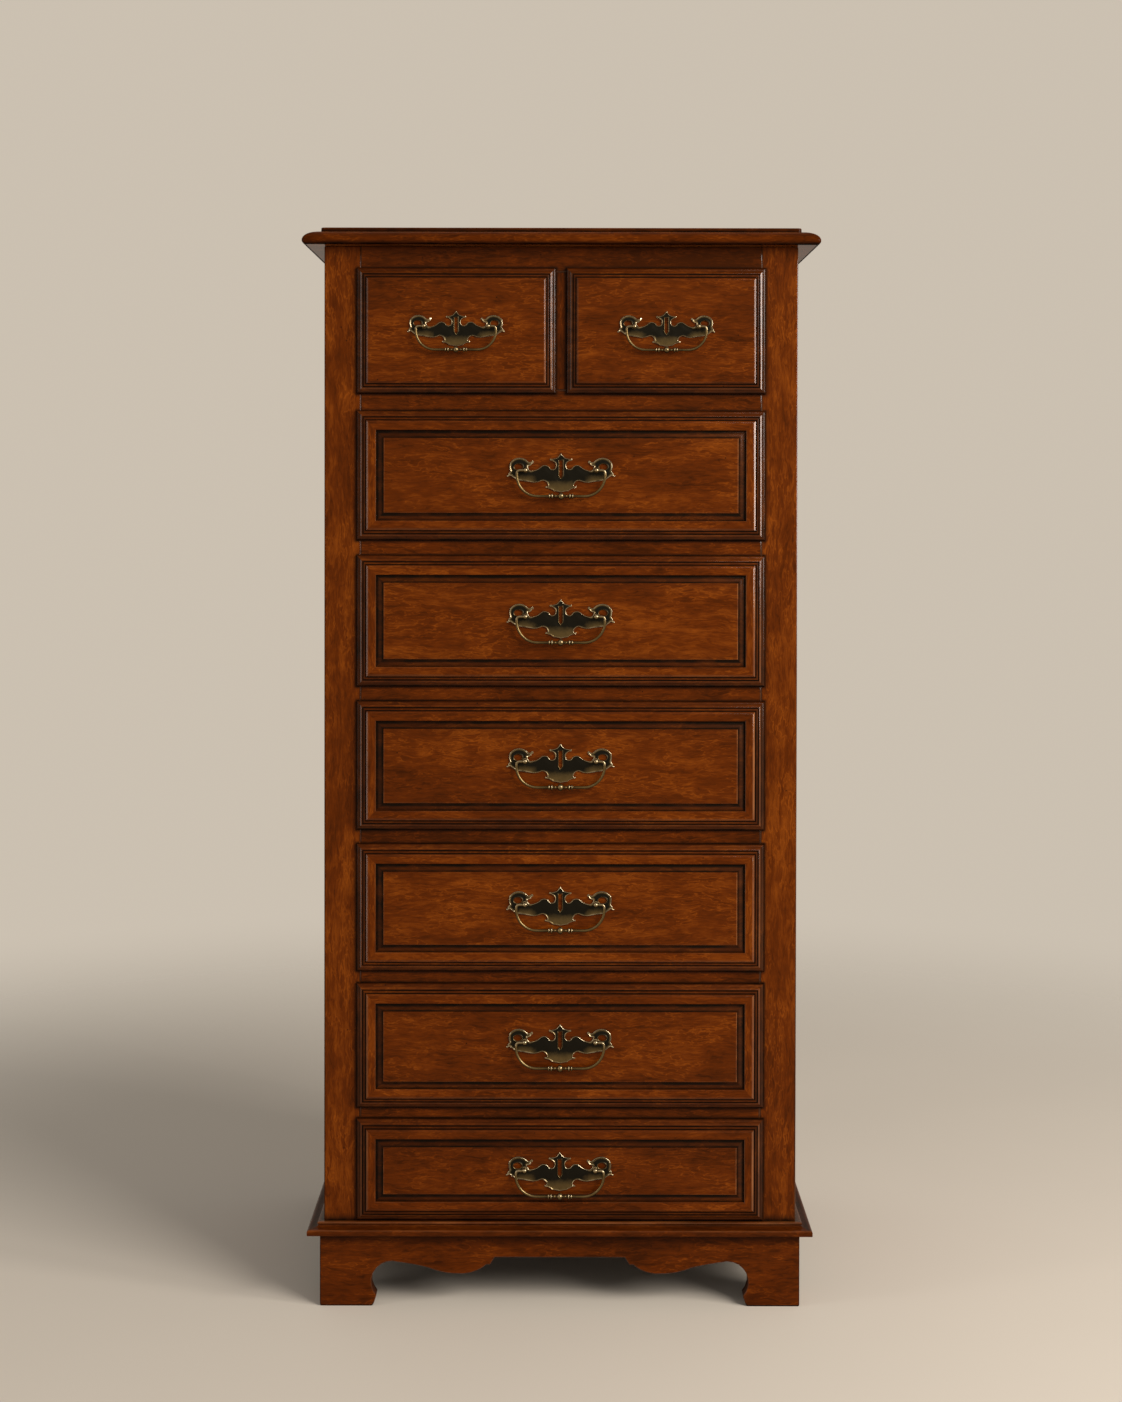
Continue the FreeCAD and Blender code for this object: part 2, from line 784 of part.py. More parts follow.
def bail(middle, row, scale):
    """Bent wire that hangs from the posts, with turned beads along its middle."""
    level = pull_level(row)
    y = pivot_y(scale)
    wire = bail_wire_radius * scale
    half = bail_half_width * scale
    drop = bail_drop * scale
    turn = bail_turn_radius * scale
    corner = bail_corner_radius * scale
    slack = math.sqrt(0.5)

    def at(x, z):
        return Vector(middle + x, y, level + z)

    def half_path(side):
        start = at(side * (post_half_spacing * scale + pivot_end_play), 0)
        return [
            line(start, at(side * (half - turn), 0)),
            Part.Arc(at(side * (half - turn), 0), at(side * (half - turn + turn * slack), turn * slack - turn),
                     at(side * half, -turn)).toShape(),
            line(at(side * half, -turn), at(side * half, corner - drop)),
            Part.Arc(at(side * half, corner - drop),
                     at(side * (half - corner + corner * slack), corner - drop - corner * slack),
                     at(side * (half - corner), -drop)).toShape(),
        ]

    base = line(at(corner - half, -drop), at(half - corner, -drop))
    path = Part.Wire(Part.__sortEdges__(half_path(-1) + [base] + half_path(1)))
    start = path.OrderedVertexes[0].Point
    section = Part.Wire(Part.makeCircle(wire, start, Vector(1, 0, 0)))
    rod = path.makePipeShell([section], True, False)
    beads = []
    unit = plate_half_width * scale
    for place, width, radius in turning_shares:
        for side in ((-1, 1) if place else (1,)):
            x = side * place * unit
            ends = (at(x - width * unit, -drop), at(x + width * unit, -drop))
            arc = Part.Arc(ends[0], at(x, radius * unit - drop), ends[1]).toShape()
            lens = outline_face([arc, line(ends[0], ends[1])])
            beads.append(lens.revolve(at(0, -drop), Vector(1, 0, 0), 360))
    return rod.fuse(beads).removeSplitter()


def chest():
    """Every node with its solids."""
    right_side = side_panel()
    right_stile = stile()
    right_base = side_base_moulding()
    right_plinth = plinth_side()
    levels = rail_levels()
    nodes = {
        "top_board": [top_board()],
        "top_cleats": top_cleats(),
        "left_side_panel": [mirrored(right_side)],
        "right_side_panel": [right_side],
        "left_stile": [mirrored(right_stile)],
        "right_stile": [right_stile],
        "top_rail": [rail(*levels[0])],
        "drawer_rails": [rail(*level) for level in levels[1:]],
        "centre_muntin": [centre_muntin()],
        "back_panel": [back_panel()],
        "bottom_panel": [bottom_panel()],
        "drawer_runners": drawer_runners(),
        "front_base_moulding": [front_base_moulding()],
        "side_base_mouldings": [mirrored(right_base), right_base],
        "front_apron": [front_apron()],
        "left_plinth_side": [mirrored(right_plinth)],
        "right_plinth_side": [right_plinth],
        "rear_plinth": [rear_plinth()],
        "corner_blocks": corner_blocks(),
        "case_fasteners": case_fasteners(),
    }
    for number, (middle, half, row, scale) in enumerate(drawer_places(), start=1):
        nodes[f"drawer_{number}_front"] = [drawer_front(middle, half, row, scale)]
        nodes[f"drawer_{number}_box"] = drawer_box(middle, half, row)
        nodes[f"drawer_{number}_bottom"] = [drawer_bottom(middle, half, row)]
        nodes[f"pull_{number}"] = drawer_pull(middle, row, scale)
        nodes[f"bail_{number}"] = [bail(middle, row, scale)]
    return nodes


os.makedirs("parts", exist_ok=True)
for name, solids in chest().items():
    shape = solids[0] if len(solids) == 1 else Part.makeCompound(solids)
    shape.exportStep(f"parts/{name}.step")
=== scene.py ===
import json
import math
import bmesh
import bpy
import numpy
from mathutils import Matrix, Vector
from mathutils.geometry import delaunay_2d_cdt


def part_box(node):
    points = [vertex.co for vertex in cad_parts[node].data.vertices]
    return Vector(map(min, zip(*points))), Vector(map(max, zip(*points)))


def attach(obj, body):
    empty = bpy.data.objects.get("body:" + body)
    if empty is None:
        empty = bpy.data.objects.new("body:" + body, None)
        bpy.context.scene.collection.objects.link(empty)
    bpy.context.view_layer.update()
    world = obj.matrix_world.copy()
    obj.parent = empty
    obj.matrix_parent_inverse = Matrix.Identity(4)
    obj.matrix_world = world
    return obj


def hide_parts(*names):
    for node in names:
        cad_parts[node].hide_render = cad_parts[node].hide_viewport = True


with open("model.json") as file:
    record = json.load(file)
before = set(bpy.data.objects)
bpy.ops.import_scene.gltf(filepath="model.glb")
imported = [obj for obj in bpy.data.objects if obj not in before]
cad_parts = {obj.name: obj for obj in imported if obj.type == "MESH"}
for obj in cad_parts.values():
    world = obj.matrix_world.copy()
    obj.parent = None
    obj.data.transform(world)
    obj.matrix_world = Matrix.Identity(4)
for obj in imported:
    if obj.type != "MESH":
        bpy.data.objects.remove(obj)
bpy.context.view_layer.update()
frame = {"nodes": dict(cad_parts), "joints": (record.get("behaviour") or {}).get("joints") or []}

# Face frame
# Two cherry stiles run from the plinth to the top, with rails tenoned between them and a short
# muntin between the small drawers. Stain and a dark glaze lie under semi-gloss lacquer, and the
# frame carries painted shade beside and under the drawer lips and over the base moulding.
stained_dark = (0.040, 0.0075, 0.0004, 1)
stained_mid = (0.105, 0.0186, 0.0008, 1)
stained_light = (0.225, 0.0495, 0.0030, 1)
# Colour of the dark glaze, also laid on as painted shade in quirks, grooves and under the lips.
glaze_and_shade_colour = (0.0050, 0.0018, 0.0007, 1)
# Pale colour of rubbed arrises, also used for painted highlights on the arrises.
worn_and_highlight_colour = (0.29, 0.098, 0.024, 1)
lacquer_roughness = 0.4
lacquer_specular = 0.05
lacquer_tint = (1.0, 0.75, 0.45, 1)
lacquer_coat = 0.07
rubbed_coat = 0.75
lacquer_coat_roughness = 0.13
lacquer_bump = 0.16
lacquer_bump_height = 0.0005


def add_node(tree, kind, links=None, **settings):
    """A node with its settings, and its sockets linked or set."""
    node = tree.nodes.new(kind if kind.startswith("GeometryNode") else "ShaderNode" + kind)
    for name, value in settings.items():
        setattr(node, name, value)
    for socket, source in (links or {}).items():
        if isinstance(source, bpy.types.NodeSocket):
            tree.links.new(source, node.inputs[socket])
        else:
            node.inputs[socket].default_value = source
    return node


def maths(tree, operation, a, b=0.0, clamp=False):
    """Result of one sum on two values or sockets."""
    return add_node(tree, "Math", {0: a, 1: b}, operation=operation, use_clamp=clamp).outputs[0]


def mixed(tree, factor, a, b, blend="MIX"):
    """Two colours mixed by a factor."""
    links = {0: factor, 6: a, 7: b}
    return add_node(tree, "Mix", links, data_type="RGBA", blend_type=blend, clamp_factor=True).outputs[2]


def ranged(tree, value, low, high, to_low=0.0, to_high=1.0):
    """A value carried from one range to another, held at the ends."""
    links = {"Value": value, "From Min": low, "From Max": high, "To Min": to_low, "To Max": to_high}
    return add_node(tree, "MapRange", links).outputs[0]


def stretched_noise(tree, vector, scale, detail=2.0, roughness=0.5):
    """Noise with its own scale along and across the grain."""
    place = add_node(tree, "VectorMath", {0: vector, 1: scale}, operation="MULTIPLY").outputs[0]
    links = {"Vector": place, "Scale": 1.0, "Detail": detail, "Roughness": roughness}
    return add_node(tree, "TexNoise", links).outputs["Fac"]


def weighted(tree, start, parts):
    """start plus each value's distance from a half, times its weight."""
    total = start
    for value, weight in parts:
        away = maths(tree, "SUBTRACT", value, 0.5)
        total = maths(tree, "ADD", maths(tree, "MULTIPLY", away, weight), total)
    return total


def warped(tree, vector, scale, reach):
    """A vector pushed about by noise, up to half the reach each way."""
    place = add_node(tree, "VectorMath", {0: vector, 1: scale}, operation="MULTIPLY").outputs[0]
    push = add_node(tree, "TexNoise", {"Vector": place, "Scale": 1.0, "Detail": 2.0}).outputs["Color"]
    push = add_node(tree, "VectorMath", {0: push, 1: (0.5, 0.5, 0.5)}, operation="SUBTRACT").outputs[0]
    reaches = (reach, reach, reach)
    push = add_node(tree, "VectorMath", {0: push, 1: reaches}, operation="MULTIPLY").outputs[0]
    return add_node(tree, "VectorMath", {0: vector, 1: push}, operation="ADD").outputs[0]


def crest(tree, value, width):
    """Thin lines where a noise passes through a half."""
    away = maths(tree, "ABSOLUTE", maths(tree, "SUBTRACT", value, 0.5))
    return ranged(tree, away, 0.0, width, 1.0, 0.0)


def shader_group(name, inputs, outputs):
    """An empty shader group with named sockets, and its two end nodes."""
    tree = bpy.data.node_groups.new(name, "ShaderNodeTree")
    for label, kind in inputs:
        tree.interface.new_socket(label, in_out="INPUT", socket_type="NodeSocket" + kind)
    for label, kind in outputs:
        tree.interface.new_socket(label, in_out="OUTPUT", socket_type="NodeSocket" + kind)
    return tree, tree.nodes.new("NodeGroupInput"), tree.nodes.new("NodeGroupOutput")


def colour_ramp(tree, factor, stops):
    """Colours at places between 0 and 1."""
    node = add_node(tree, "ValToRGB", {"Fac": factor})
    elements = node.color_ramp.elements
    while len(elements) < len(stops):
        elements.new(0.5)
    for element, (place, colour) in zip(elements, stops):
        element.position = place
        element.color = colour
    return node.outputs["Color"]


broad_bend = (7.0, 16.0, 16.0)
broad_bend_reach = 0.02
fine_bend = (38.0, 58.0, 58.0)
fine_bend_reach = 0.0075
fibre_scale = (60.0, 620.0, 620.0)
flame_scale = (46.0, 205.0, 205.0)
streak_scale = (11.0, 95.0, 95.0)
mottle_scale = (26.0, 50.0, 50.0)
cloud_scale = (7.0, 14.0, 14.0)
patch_scale = (19.0, 40.0, 40.0)
figure_middle = 0.47
pale_line_width = 0.045
pale_line_weight = 0.26
dark_line_width = 0.018
dark_line_weight = 0.15
speck_scale = 62.0
speck_limit = 0.82
glaze_roughening = 0.22


def build_cherry_figure():
    """Group for stained cherry: fibres, flames, mottle, glaze and painted shade, specks, and rubbed
    arrises with painted highlights.
    """
    tree, given, out = shader_group(
        "cherry figure",
        [("Grain", "Vector"), ("Glaze And Shade", "Float"), ("Wear And Highlight", "Float"), ("Tone", "Float")],
        [("Color", "Color"), ("Roughness", "Float"), ("Coat", "Float"), ("Height", "Float")])
    grain = given.outputs["Grain"]
    wavy = warped(tree, grain, broad_bend, broad_bend_reach)
    wavy = warped(tree, wavy, fine_bend, fine_bend_reach)
    fibre = stretched_noise(tree, wavy, fibre_scale, 2.0, 0.6)
    flame = stretched_noise(tree, wavy, flame_scale, 2.0, 0.55)
    streak = stretched_noise(tree, wavy, streak_scale, 2.0, 0.5)
    mottle = stretched_noise(tree, wavy, mottle_scale, 3.0, 0.6)
    cloud = stretched_noise(tree, grain, cloud_scale, 2.0, 0.5)
    patch = stretched_noise(tree, grain, patch_scale, 2.0, 0.5)
    pale_line = crest(tree, flame, pale_line_width)
    pale_line = maths(tree, "MULTIPLY", pale_line, ranged(tree, patch, 0.42, 0.56))
    dark_line = crest(tree, streak, dark_line_width)
    dark_line = maths(tree, "MULTIPLY", dark_line, ranged(tree, patch, 0.56, 0.42))
    value = weighted(tree, figure_middle,
                     [(fibre, 0.55), (flame, 0.5), (streak, 0.42), (mottle, 0.5), (cloud, 0.55)])
    value = maths(tree, "ADD", value, maths(tree, "MULTIPLY", pale_line, pale_line_weight))
    value = maths(tree, "SUBTRACT", value, maths(tree, "MULTIPLY", dark_line, dark_line_weight))
    value = maths(tree, "ADD", value, given.outputs["Tone"])
    colour = colour_ramp(tree, value, [(0.12, stained_dark), (0.5, stained_mid), (0.88, stained_light)])
    spots = add_node(tree, "TexVoronoi", {"Vector": grain, "Scale": speck_scale})
    chosen = add_node(tree, "SeparateColor", {0: spots.outputs["Color"]}).outputs[0]
    chosen = maths(tree, "GREATER_THAN", chosen, speck_limit)
    speck = ranged(tree, spots.outputs["Distance"], 0.03, 0.075, 0.8, 0.0)
    speck = maths(tree, "MULTIPLY", chosen, speck)
    colour = mixed(tree, speck, colour, glaze_and_shade_colour)
    # Rubbed arrises and painted highlights, lightened to the worn colour.
    streaky = ranged(tree, streak, 0.38, 0.62, 0.2, 0.8)
    worn = maths(tree, "MULTIPLY", given.outputs["Wear And Highlight"], streaky, clamp=True)
    colour = mixed(tree, worn, colour, worn_and_highlight_colour)
    # Dark glaze mixed in, carrying the painted shade laid on each face.
    patchy = ranged(tree, mottle, 0.3, 0.7, 0.75, 1.2)
    glaze_and_shade_amount = maths(tree, "MULTIPLY", given.outputs["Glaze And Shade"], patchy, clamp=True)
    colour = mixed(tree, glaze_and_shade_amount, colour, glaze_and_shade_colour)
    tree.links.new(colour, out.inputs["Color"])
    rough = ranged(tree, streak, 0.3, 0.7, lacquer_roughness - 0.05, lacquer_roughness + 0.07)
    rough = maths(tree, "ADD", rough, maths(tree, "MULTIPLY", glaze_and_shade_amount, glaze_roughening))
    tree.links.new(rough, out.inputs["Roughness"])
    coat = maths(tree, "MULTIPLY", given.outputs["Wear And Highlight"], rubbed_coat)
    tree.links.new(maths(tree, "ADD", coat, lacquer_coat, clamp=True), out.inputs["Coat"])
    height = weighted(tree, 0.5, [(fibre, 0.4), (flame, 0.3), (mottle, 0.35)])
    height = maths(tree, "SUBTRACT", height, speck)
    tree.links.new(height, out.inputs["Height"])
    return tree


cherry_figure = build_cherry_figure()


def stained_cherry(name, specular):
    """Lacquered cherry that reads the grain, and the finish with its painted shade and highlights, laid
    on each piece's own faces.
    """
    material = bpy.data.materials.new(name)
    material.use_nodes = True
    tree = material.node_tree
    shader = tree.nodes["Principled BSDF"]
    grain = add_node(tree, "Attribute", attribute_name="grain")
    finish_and_painted_light = add_node(tree, "Attribute", attribute_name="finish_and_painted_light")
    parts = add_node(tree, "SeparateXYZ", {0: finish_and_painted_light.outputs["Vector"]})
    figure = tree.nodes.new("ShaderNodeGroup")
    figure.node_tree = cherry_figure
    tree.links.new(grain.outputs["Vector"], figure.inputs["Grain"])
    for socket, source in zip(("Glaze And Shade", "Wear And Highlight", "Tone"), parts.outputs):
        tree.links.new(source, figure.inputs[socket])
    tree.links.new(figure.outputs["Color"], shader.inputs["Base Color"])
    tree.links.new(figure.outputs["Roughness"], shader.inputs["Roughness"])
    tree.links.new(figure.outputs["Coat"], shader.inputs["Coat Weight"])
    height = figure.outputs["Height"]
    links = {"Strength": lacquer_bump, "Distance": lacquer_bump_height, "Height": height}
    tree.links.new(add_node(tree, "Bump", links).outputs["Normal"], shader.inputs["Normal"])
    shader.inputs["Specular IOR Level"].default_value = specular
    shader.inputs["Specular Tint"].default_value = lacquer_tint
    shader.inputs["Coat Roughness"].default_value = lacquer_coat_roughness
    return material


cherry = stained_cherry("stained_cherry", lacquer_specular)
grain_step = (1.37, 0.73, 0.41)
tone_spread = 0.07
tone_turn = 12.9898


class WoodPiece:
    """Faces of one wooden piece, each with the lie of its grain, its glaze and painted shade, and its
    wear and painted highlight.
    """

    cuts = 0

    def __init__(self, run, tone=0.0):
        WoodPiece.cuts += 1
        turn = WoodPiece.cuts
        self.run = run
        self.shift = Vector([step * turn for step in grain_step])
        self.tone = tone + tone_spread * math.sin(tone_turn * turn)
        self.points = []
        self.faces = []
        self.grain = []
        self.finish_and_painted_light = []
        self.shell()

    def shell(self):
        """Starts a new closed shell, which shares no points with the last."""
        self.known = {}

    def point(self, place):
        """Number of the point at a place, new or already in this shell."""
        key = tuple(round(value, 7) for value in place)
        if key not in self.known:
            self.known[key] = len(self.points)
            self.points.append(key)
        return self.known[key]

    def face(self, corners, glaze_and_shade=0.0, wear_and_highlight=0.0, run=None):
        """One face; its glaze and painted shade is a number or one for each corner."""
        if isinstance(glaze_and_shade, (int, float)):
            glaze_and_shade = [glaze_and_shade] * len(corners)
        self.faces.append([self.point(corner) for corner in corners])
        order = {"X": (0, 2, 1), "Y": (1, 2, 0), "Z": (2, 0, 1)}[run or self.run]
        for corner, dark in zip(corners, glaze_and_shade):
            self.grain.append([corner[axis] + self.shift[slot] for slot, axis in enumerate(order)])
            self.finish_and_painted_light.append((dark, wear_and_highlight, self.tone))


def show(name, mesh, body, nodes=(), angle=34):
    """Puts a finished mesh in the scene and ties it to its body and the solids it replaces."""
    work = bmesh.new()
    work.from_mesh(mesh)
    bmesh.ops.recalc_face_normals(work, faces=work.faces)
    work.to_mesh(mesh)
    work.free()
    mesh.shade_smooth()
    mesh.set_sharp_from_angle(angle=math.radians(angle))
    piece = bpy.data.objects.new(name, mesh)
    bpy.context.scene.collection.objects.link(piece)
    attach(piece, body)
    if nodes:
        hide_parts(*nodes)


def show_wood(name, parts, body, nodes, material=None):
    """Joins wooden pieces into one mesh that keeps each piece's grain, and its finish with painted shade
    and highlights.
    """
    points, faces, grain, finish_and_painted_light = [], [], [], []
    for part in parts:
        start = len(points)
        points += part.points
        faces += [[start + corner for corner in face] for face in part.faces]
        grain += part.grain
        finish_and_painted_light += part.finish_and_painted_light
    mesh = bpy.data.meshes.new(name)
    mesh.from_pydata(points, [], faces)
    for label, values in (("grain", grain), ("finish_and_painted_light", finish_and_painted_light)):
        layer = mesh.attributes.new(label, "FLOAT_VECTOR", "CORNER")
        layer.data.foreach_set("vector", numpy.array(values, dtype=numpy.float32).ravel())
    mesh.materials.append(material or cherry)
    show(name, mesh, body, nodes)


drawer_numbers = range(1, 9)
small_drawers = (1, 2)
lips = {number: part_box(f"drawer_{number}_front") for number in drawer_numbers}
base_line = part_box("front_base_moulding")[1].z
# Painted shade on the frame: its fade away from the lips and the base moulding.
shade_steps = (0.0, 0.0006, 0.0012, 0.002, 0.003, 0.0045)
shade_depth = 0.97
shade_fall = 1.2
base_thinning = 0.45
beside_thinning = 1.25
above_thinning = 1.5
least_quad = 0.0002
shade_margin = 1.5


def lip_shade(x, z):
    """Painted shade on the frame over the base moulding and close to a drawer's lip, most of it below the
    lip.
    """
    gap = max(0.0, base_thinning * (z - base_line))
    for low, high in lips.values():
        beside = max(low.x - x, x - high.x, 0.0)
        over = max(low.z - z, above_thinning * (z - high.z), 0.0)
        gap = min(gap, math.hypot(beside_thinning * beside, over))
    return shade_depth * max(0.0, 1 - gap / shade_steps[-1]) ** shade_fall


def shaded_face(part, outer, low, high):
    """Front of a frame board in small quads, so that the painted shade beside the lips can fade."""
    lines = []
    for axis in (0, 2):
        places = {low[axis], high[axis]}
        if axis == 2:
            places |= {base_line + 2 * step for step in shade_steps}
        for ends in lips.values():
            for step in shade_steps:
                places |= {ends[0][axis] - step, ends[1][axis] + step}
        kept = []
        for place in sorted(places):
            if low[axis] <= place <= high[axis] and (not kept or place - kept[-1] > least_quad):
                kept.append(place)
        kept[-1] = high[axis]
        lines.append(kept)
    xs, zs = lines
    for x0, x1 in zip(xs, xs[1:]):
        for z0, z1 in zip(zs, zs[1:]):
            quad = [(x0, z0), (x1, z0), (x1, z1), (x0, z1)]
            part.face([Vector((x, low.y, z)) for x, z in quad], [lip_shade(x, z) for x, z in quad])
    sides = [[(x, zs[0]) for x in xs], [(xs[-1], z) for z in zs], [(x, zs[-1]) for x in reversed(xs)],
             [(xs[0], z) for z in reversed(zs)]]
    for side in sides:
        inner = [Vector((x, low.y, z)) for x, z in side]
        ends = [min(outer, key=lambda corner: (corner - inner[at]).length) for at in (0, -1)]
        part.face(ends + inner[::-1], [lip_shade(point.x, point.z) for point in ends + inner[::-1]])


arris_glaze = 0.75
arris_wear = 0.2


def add_board(part, low, high, ease, glaze_and_shade=arris_glaze, wear_and_highlight=arris_wear, shaded=False):
    """A square board with eased arrises, its front given painted shade beside the drawers where that is
    asked.
    """
    part.shell()
    ends = (low, high)

    def corner(axis, u, v, side, inset):
        place = [0.0, 0.0, 0.0]
        place[axis] = ends[side][axis]
        for across, end in ((u[0], u[1]), (v[0], v[1])):
            place[across] = ends[end][across] + (inset[across] if end == 0 else -inset[across])
        return Vector(place)

    def square(axis, side, inset):
        a, b = (axis + 1) % 3, (axis + 2) % 3
        turns = ((0, 0), (1, 0), (1, 1), (0, 1))
        return [corner(axis, (a, i), (b, j), side, inset) for i, j in turns]

    for axis in range(3):
        for side in (0, 1):
            outer = square(axis, side, ease)
            if shaded and (axis, side) == (1, 0):
                margin = Vector((shade_margin * ease[0], 0.0, shade_margin * ease[2]))
                shaded_face(part, outer, low + margin, Vector((high.x, low.y, high.z)) - margin)
            else:
                part.face(outer)
    for a, b, c in ((0, 1, 2), (0, 2, 1), (1, 2, 0)):
        for i in (0, 1):
            for j in (0, 1):
                quad = [corner(a, (b, j), (c, 0), i, ease), corner(a, (b, j), (c, 1), i, ease),
                        corner(b, (a, i), (c, 1), j, ease), corner(b, (a, i), (c, 0), j, ease)]
                part.face(quad, glaze_and_shade, wear_and_highlight)
    for i in (0, 1):
        for j in (0, 1):
            for k in (0, 1):
                part.face([corner(0, (1, j), (2, k), i, ease), corner(1, (0, i), (2, k), j, ease),
                           corner(2, (0, i), (1, j), k, ease)], glaze_and_shade, wear_and_highlight)


frame_ease = (0.001, 0.00065, 0.001)
frame_glaze = 0.6
stile_wear = 0.35
highlight_to_right = 0.3
stile_side_shade_tone = -0.03
stile_low, stile_high = (Vector(corner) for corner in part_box("right_stile"))
half_opening = stile_low.x
face_y = stile_low.y
frame_back = stile_high.y
case_top = stile_high.z
plinth_top = stile_low.z
half_case = stile_high.x
# The right stile is painted slightly darker than the left as shade, and its arrises carry more painted
# highlight.
for side, name in ((-1, "left_stile"), (1, "right_stile")):
    stile = WoodPiece("Z", stile_side_shade_tone * side)
    box_low, box_high = (Vector(corner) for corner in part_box(name))
    add_board(stile, box_low, box_high, frame_ease, frame_glaze, stile_wear + highlight_to_right * side, True)
    show_wood(f"{name}_board", [stile], "case", [name])


rail_wear = 0.4
# Rails are painted darker as shade between the drawer lips.
rail_shade_tone = -0.2
lip_overlap = 0.0046


def rail_piece(low, high):
    """One rail between the stiles."""
    rail = WoodPiece("X", rail_shade_tone)
    add_board(rail, Vector((-half_opening, face_y, low)), Vector((half_opening, frame_back, high)),
              frame_ease, frame_glaze, rail_wear, True)
    return rail


row_lips = [lips[number] for number in drawer_numbers if number != 1]
rails = []
for upper, lower in zip(row_lips, row_lips[1:]):
    rails.append(rail_piece(lower[1][2] - lip_overlap, upper[0][2] + lip_overlap))
rails.append(rail_piece(plinth_top, row_lips[-1][0][2] + lip_overlap))
show_wood("drawer_rail_boards", rails, "case", ["drawer_rails"])
show_wood("top_rail_board", [rail_piece(row_lips[0][1][2] - lip_overlap, case_top)], "case", ["top_rail"])
muntin_wear = 0.3
# The muntin is painted darker as shade between the small drawers.
muntin_shade_tone = -0.1
muntin = WoodPiece("Z", muntin_shade_tone)
muntin_low, muntin_high = (Vector(corner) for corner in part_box("centre_muntin"))
add_board(muntin, muntin_low, muntin_high, frame_ease, frame_glaze, muntin_wear, True)
show_wood("muntin_board", [muntin], "case", ["centre_muntin"])

# Side panels
# Each side is one wide board of cherry glued up with its grain upright, set behind the stile and
# rabbeted for the back and the bottom.
panel_ease = 0.0006
panel_rim = 0.012
# Painted shade along the edges of each side panel's face.
rim_dark = 0.2
inner_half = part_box("right_side_panel")[0].x
rabbet_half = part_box("back_panel")[1].x
inner_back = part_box("back_panel")[0].y
back_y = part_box("back_panel")[1].y


def side_board(side):
    """A side with eased arrises and the rabbet for the back, its face painted darker along the edges as
    shade.
    """
    part = WoodPiece("Z")
    front = frame_back
    section = [
        (half_case - panel_ease, front, rim_dark), (half_case, front + panel_ease, rim_dark),
        (half_case, front + panel_rim, 0.0), (half_case, back_y - panel_rim, 0.0),
        (half_case, back_y - panel_ease, rim_dark), (half_case - panel_ease, back_y, rim_dark),
        (rabbet_half, back_y, rim_dark), (rabbet_half, inner_back, 0.0), (inner_half, inner_back, 0.0),
        (inner_half, front, 0.0)]
    levels = [(plinth_top, rim_dark), (plinth_top + panel_rim, 0.0), (case_top - panel_rim, 0.0),
              (case_top, rim_dark)]
    for (low, low_dark), (high, high_dark) in zip(levels, levels[1:]):
        for (x0, y0, dark0), (x1, y1, dark1) in zip(section, section[1:] + section[:1]):
            quad = [(x0, y0, low), (x1, y1, low), (x1, y1, high), (x0, y0, high)]
            darks = [max(dark0, low_dark), max(dark1, low_dark),
                     max(dark1, high_dark), max(dark0, high_dark)]
            arris = x0 != x1 and y0 != y1
            part.face([Vector((side * x, y, z)) for x, y, z in quad], arris_glaze if arris else darks,
                      arris_wear if arris else 0.0)
    for z, _ in (levels[0], levels[-1]):
        part.face([Vector((side * x, y, z)) for x, y, _ in section], rim_dark)
    return part


for side, name in ((-1, "left_side_panel"), (1, "right_side_panel")):
    show_wood(f"{name}_board", [side_board(side)], "case", [name])

# Top board
# A glued-up cherry board with its grain from end to end, moulded on the front and both ends: a
# tight return under, a broad ovolo over it, then a quirk and a small square step. The return is
# painted dark as shade under the nose, and the top of the ovolo is lightened as wear and painted
# highlight.
nose_return = 0.005
nose_height = 0.0170
nose_reach = 0.0214
step_ease = 0.0009
step_lean = 0.0002
quirk_width = 0.0008
quirk_depth = 0.0003
edge_margin = 0.03
top_corner = 0.004
top_tone = -0.06
under_glaze = 0.1
under_wear = 0.45
sawn_glaze = 0.2
dull_specular = 0.0


def arc_turns(steps):
    """Angles of a quarter turn in even steps, both ends included."""
    return [0.5 * math.pi * step / steps for step in range(steps + 1)]


def on_span(value, span):
    """A value for one span of a loop, where the spans may differ."""
    return value[span] if isinstance(value, tuple) else value


def loft(part, loops, closed, runs=None, shares=None):
    """Skins loops of (points, glaze and painted shade, wear and painted highlight); each span may have
    its own grain, glaze and share of wear.
    """
    for (low_loop, low_glaze, wear_and_highlight), (high_loop, high_glaze, _) in zip(loops, loops[1:]):
        spans = len(low_loop) if closed else len(low_loop) - 1
        for k in range(spans):
            n = (k + 1) % len(low_loop)
            start, end = on_span(low_glaze, k), on_span(high_glaze, k)
            part.face([low_loop[k], low_loop[n], high_loop[n], high_loop[k]], [start, start, end, end],
                      wear_and_highlight * (shares[k] if shares else 1.0), runs[k] if runs else None)


top_low, top_high = (Vector(corner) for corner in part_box("top_board"))
top_thickness = top_high.z - top_low.z
# Painted shade on the return under the nose, darkest at its foot.
return_shade = (1.0, 1.0, 0.95, 0.85, 0.65, 0.4, 0.2)
nose_profile = [(nose_return * (1 - math.sin(turn)), nose_return * (1 - math.cos(turn)), glaze_and_shade, 0.0)
                for turn, glaze_and_shade in zip(arc_turns(6), return_shade)]
ovolo_rise = nose_height - nose_return
ovolo_glaze = 0.08
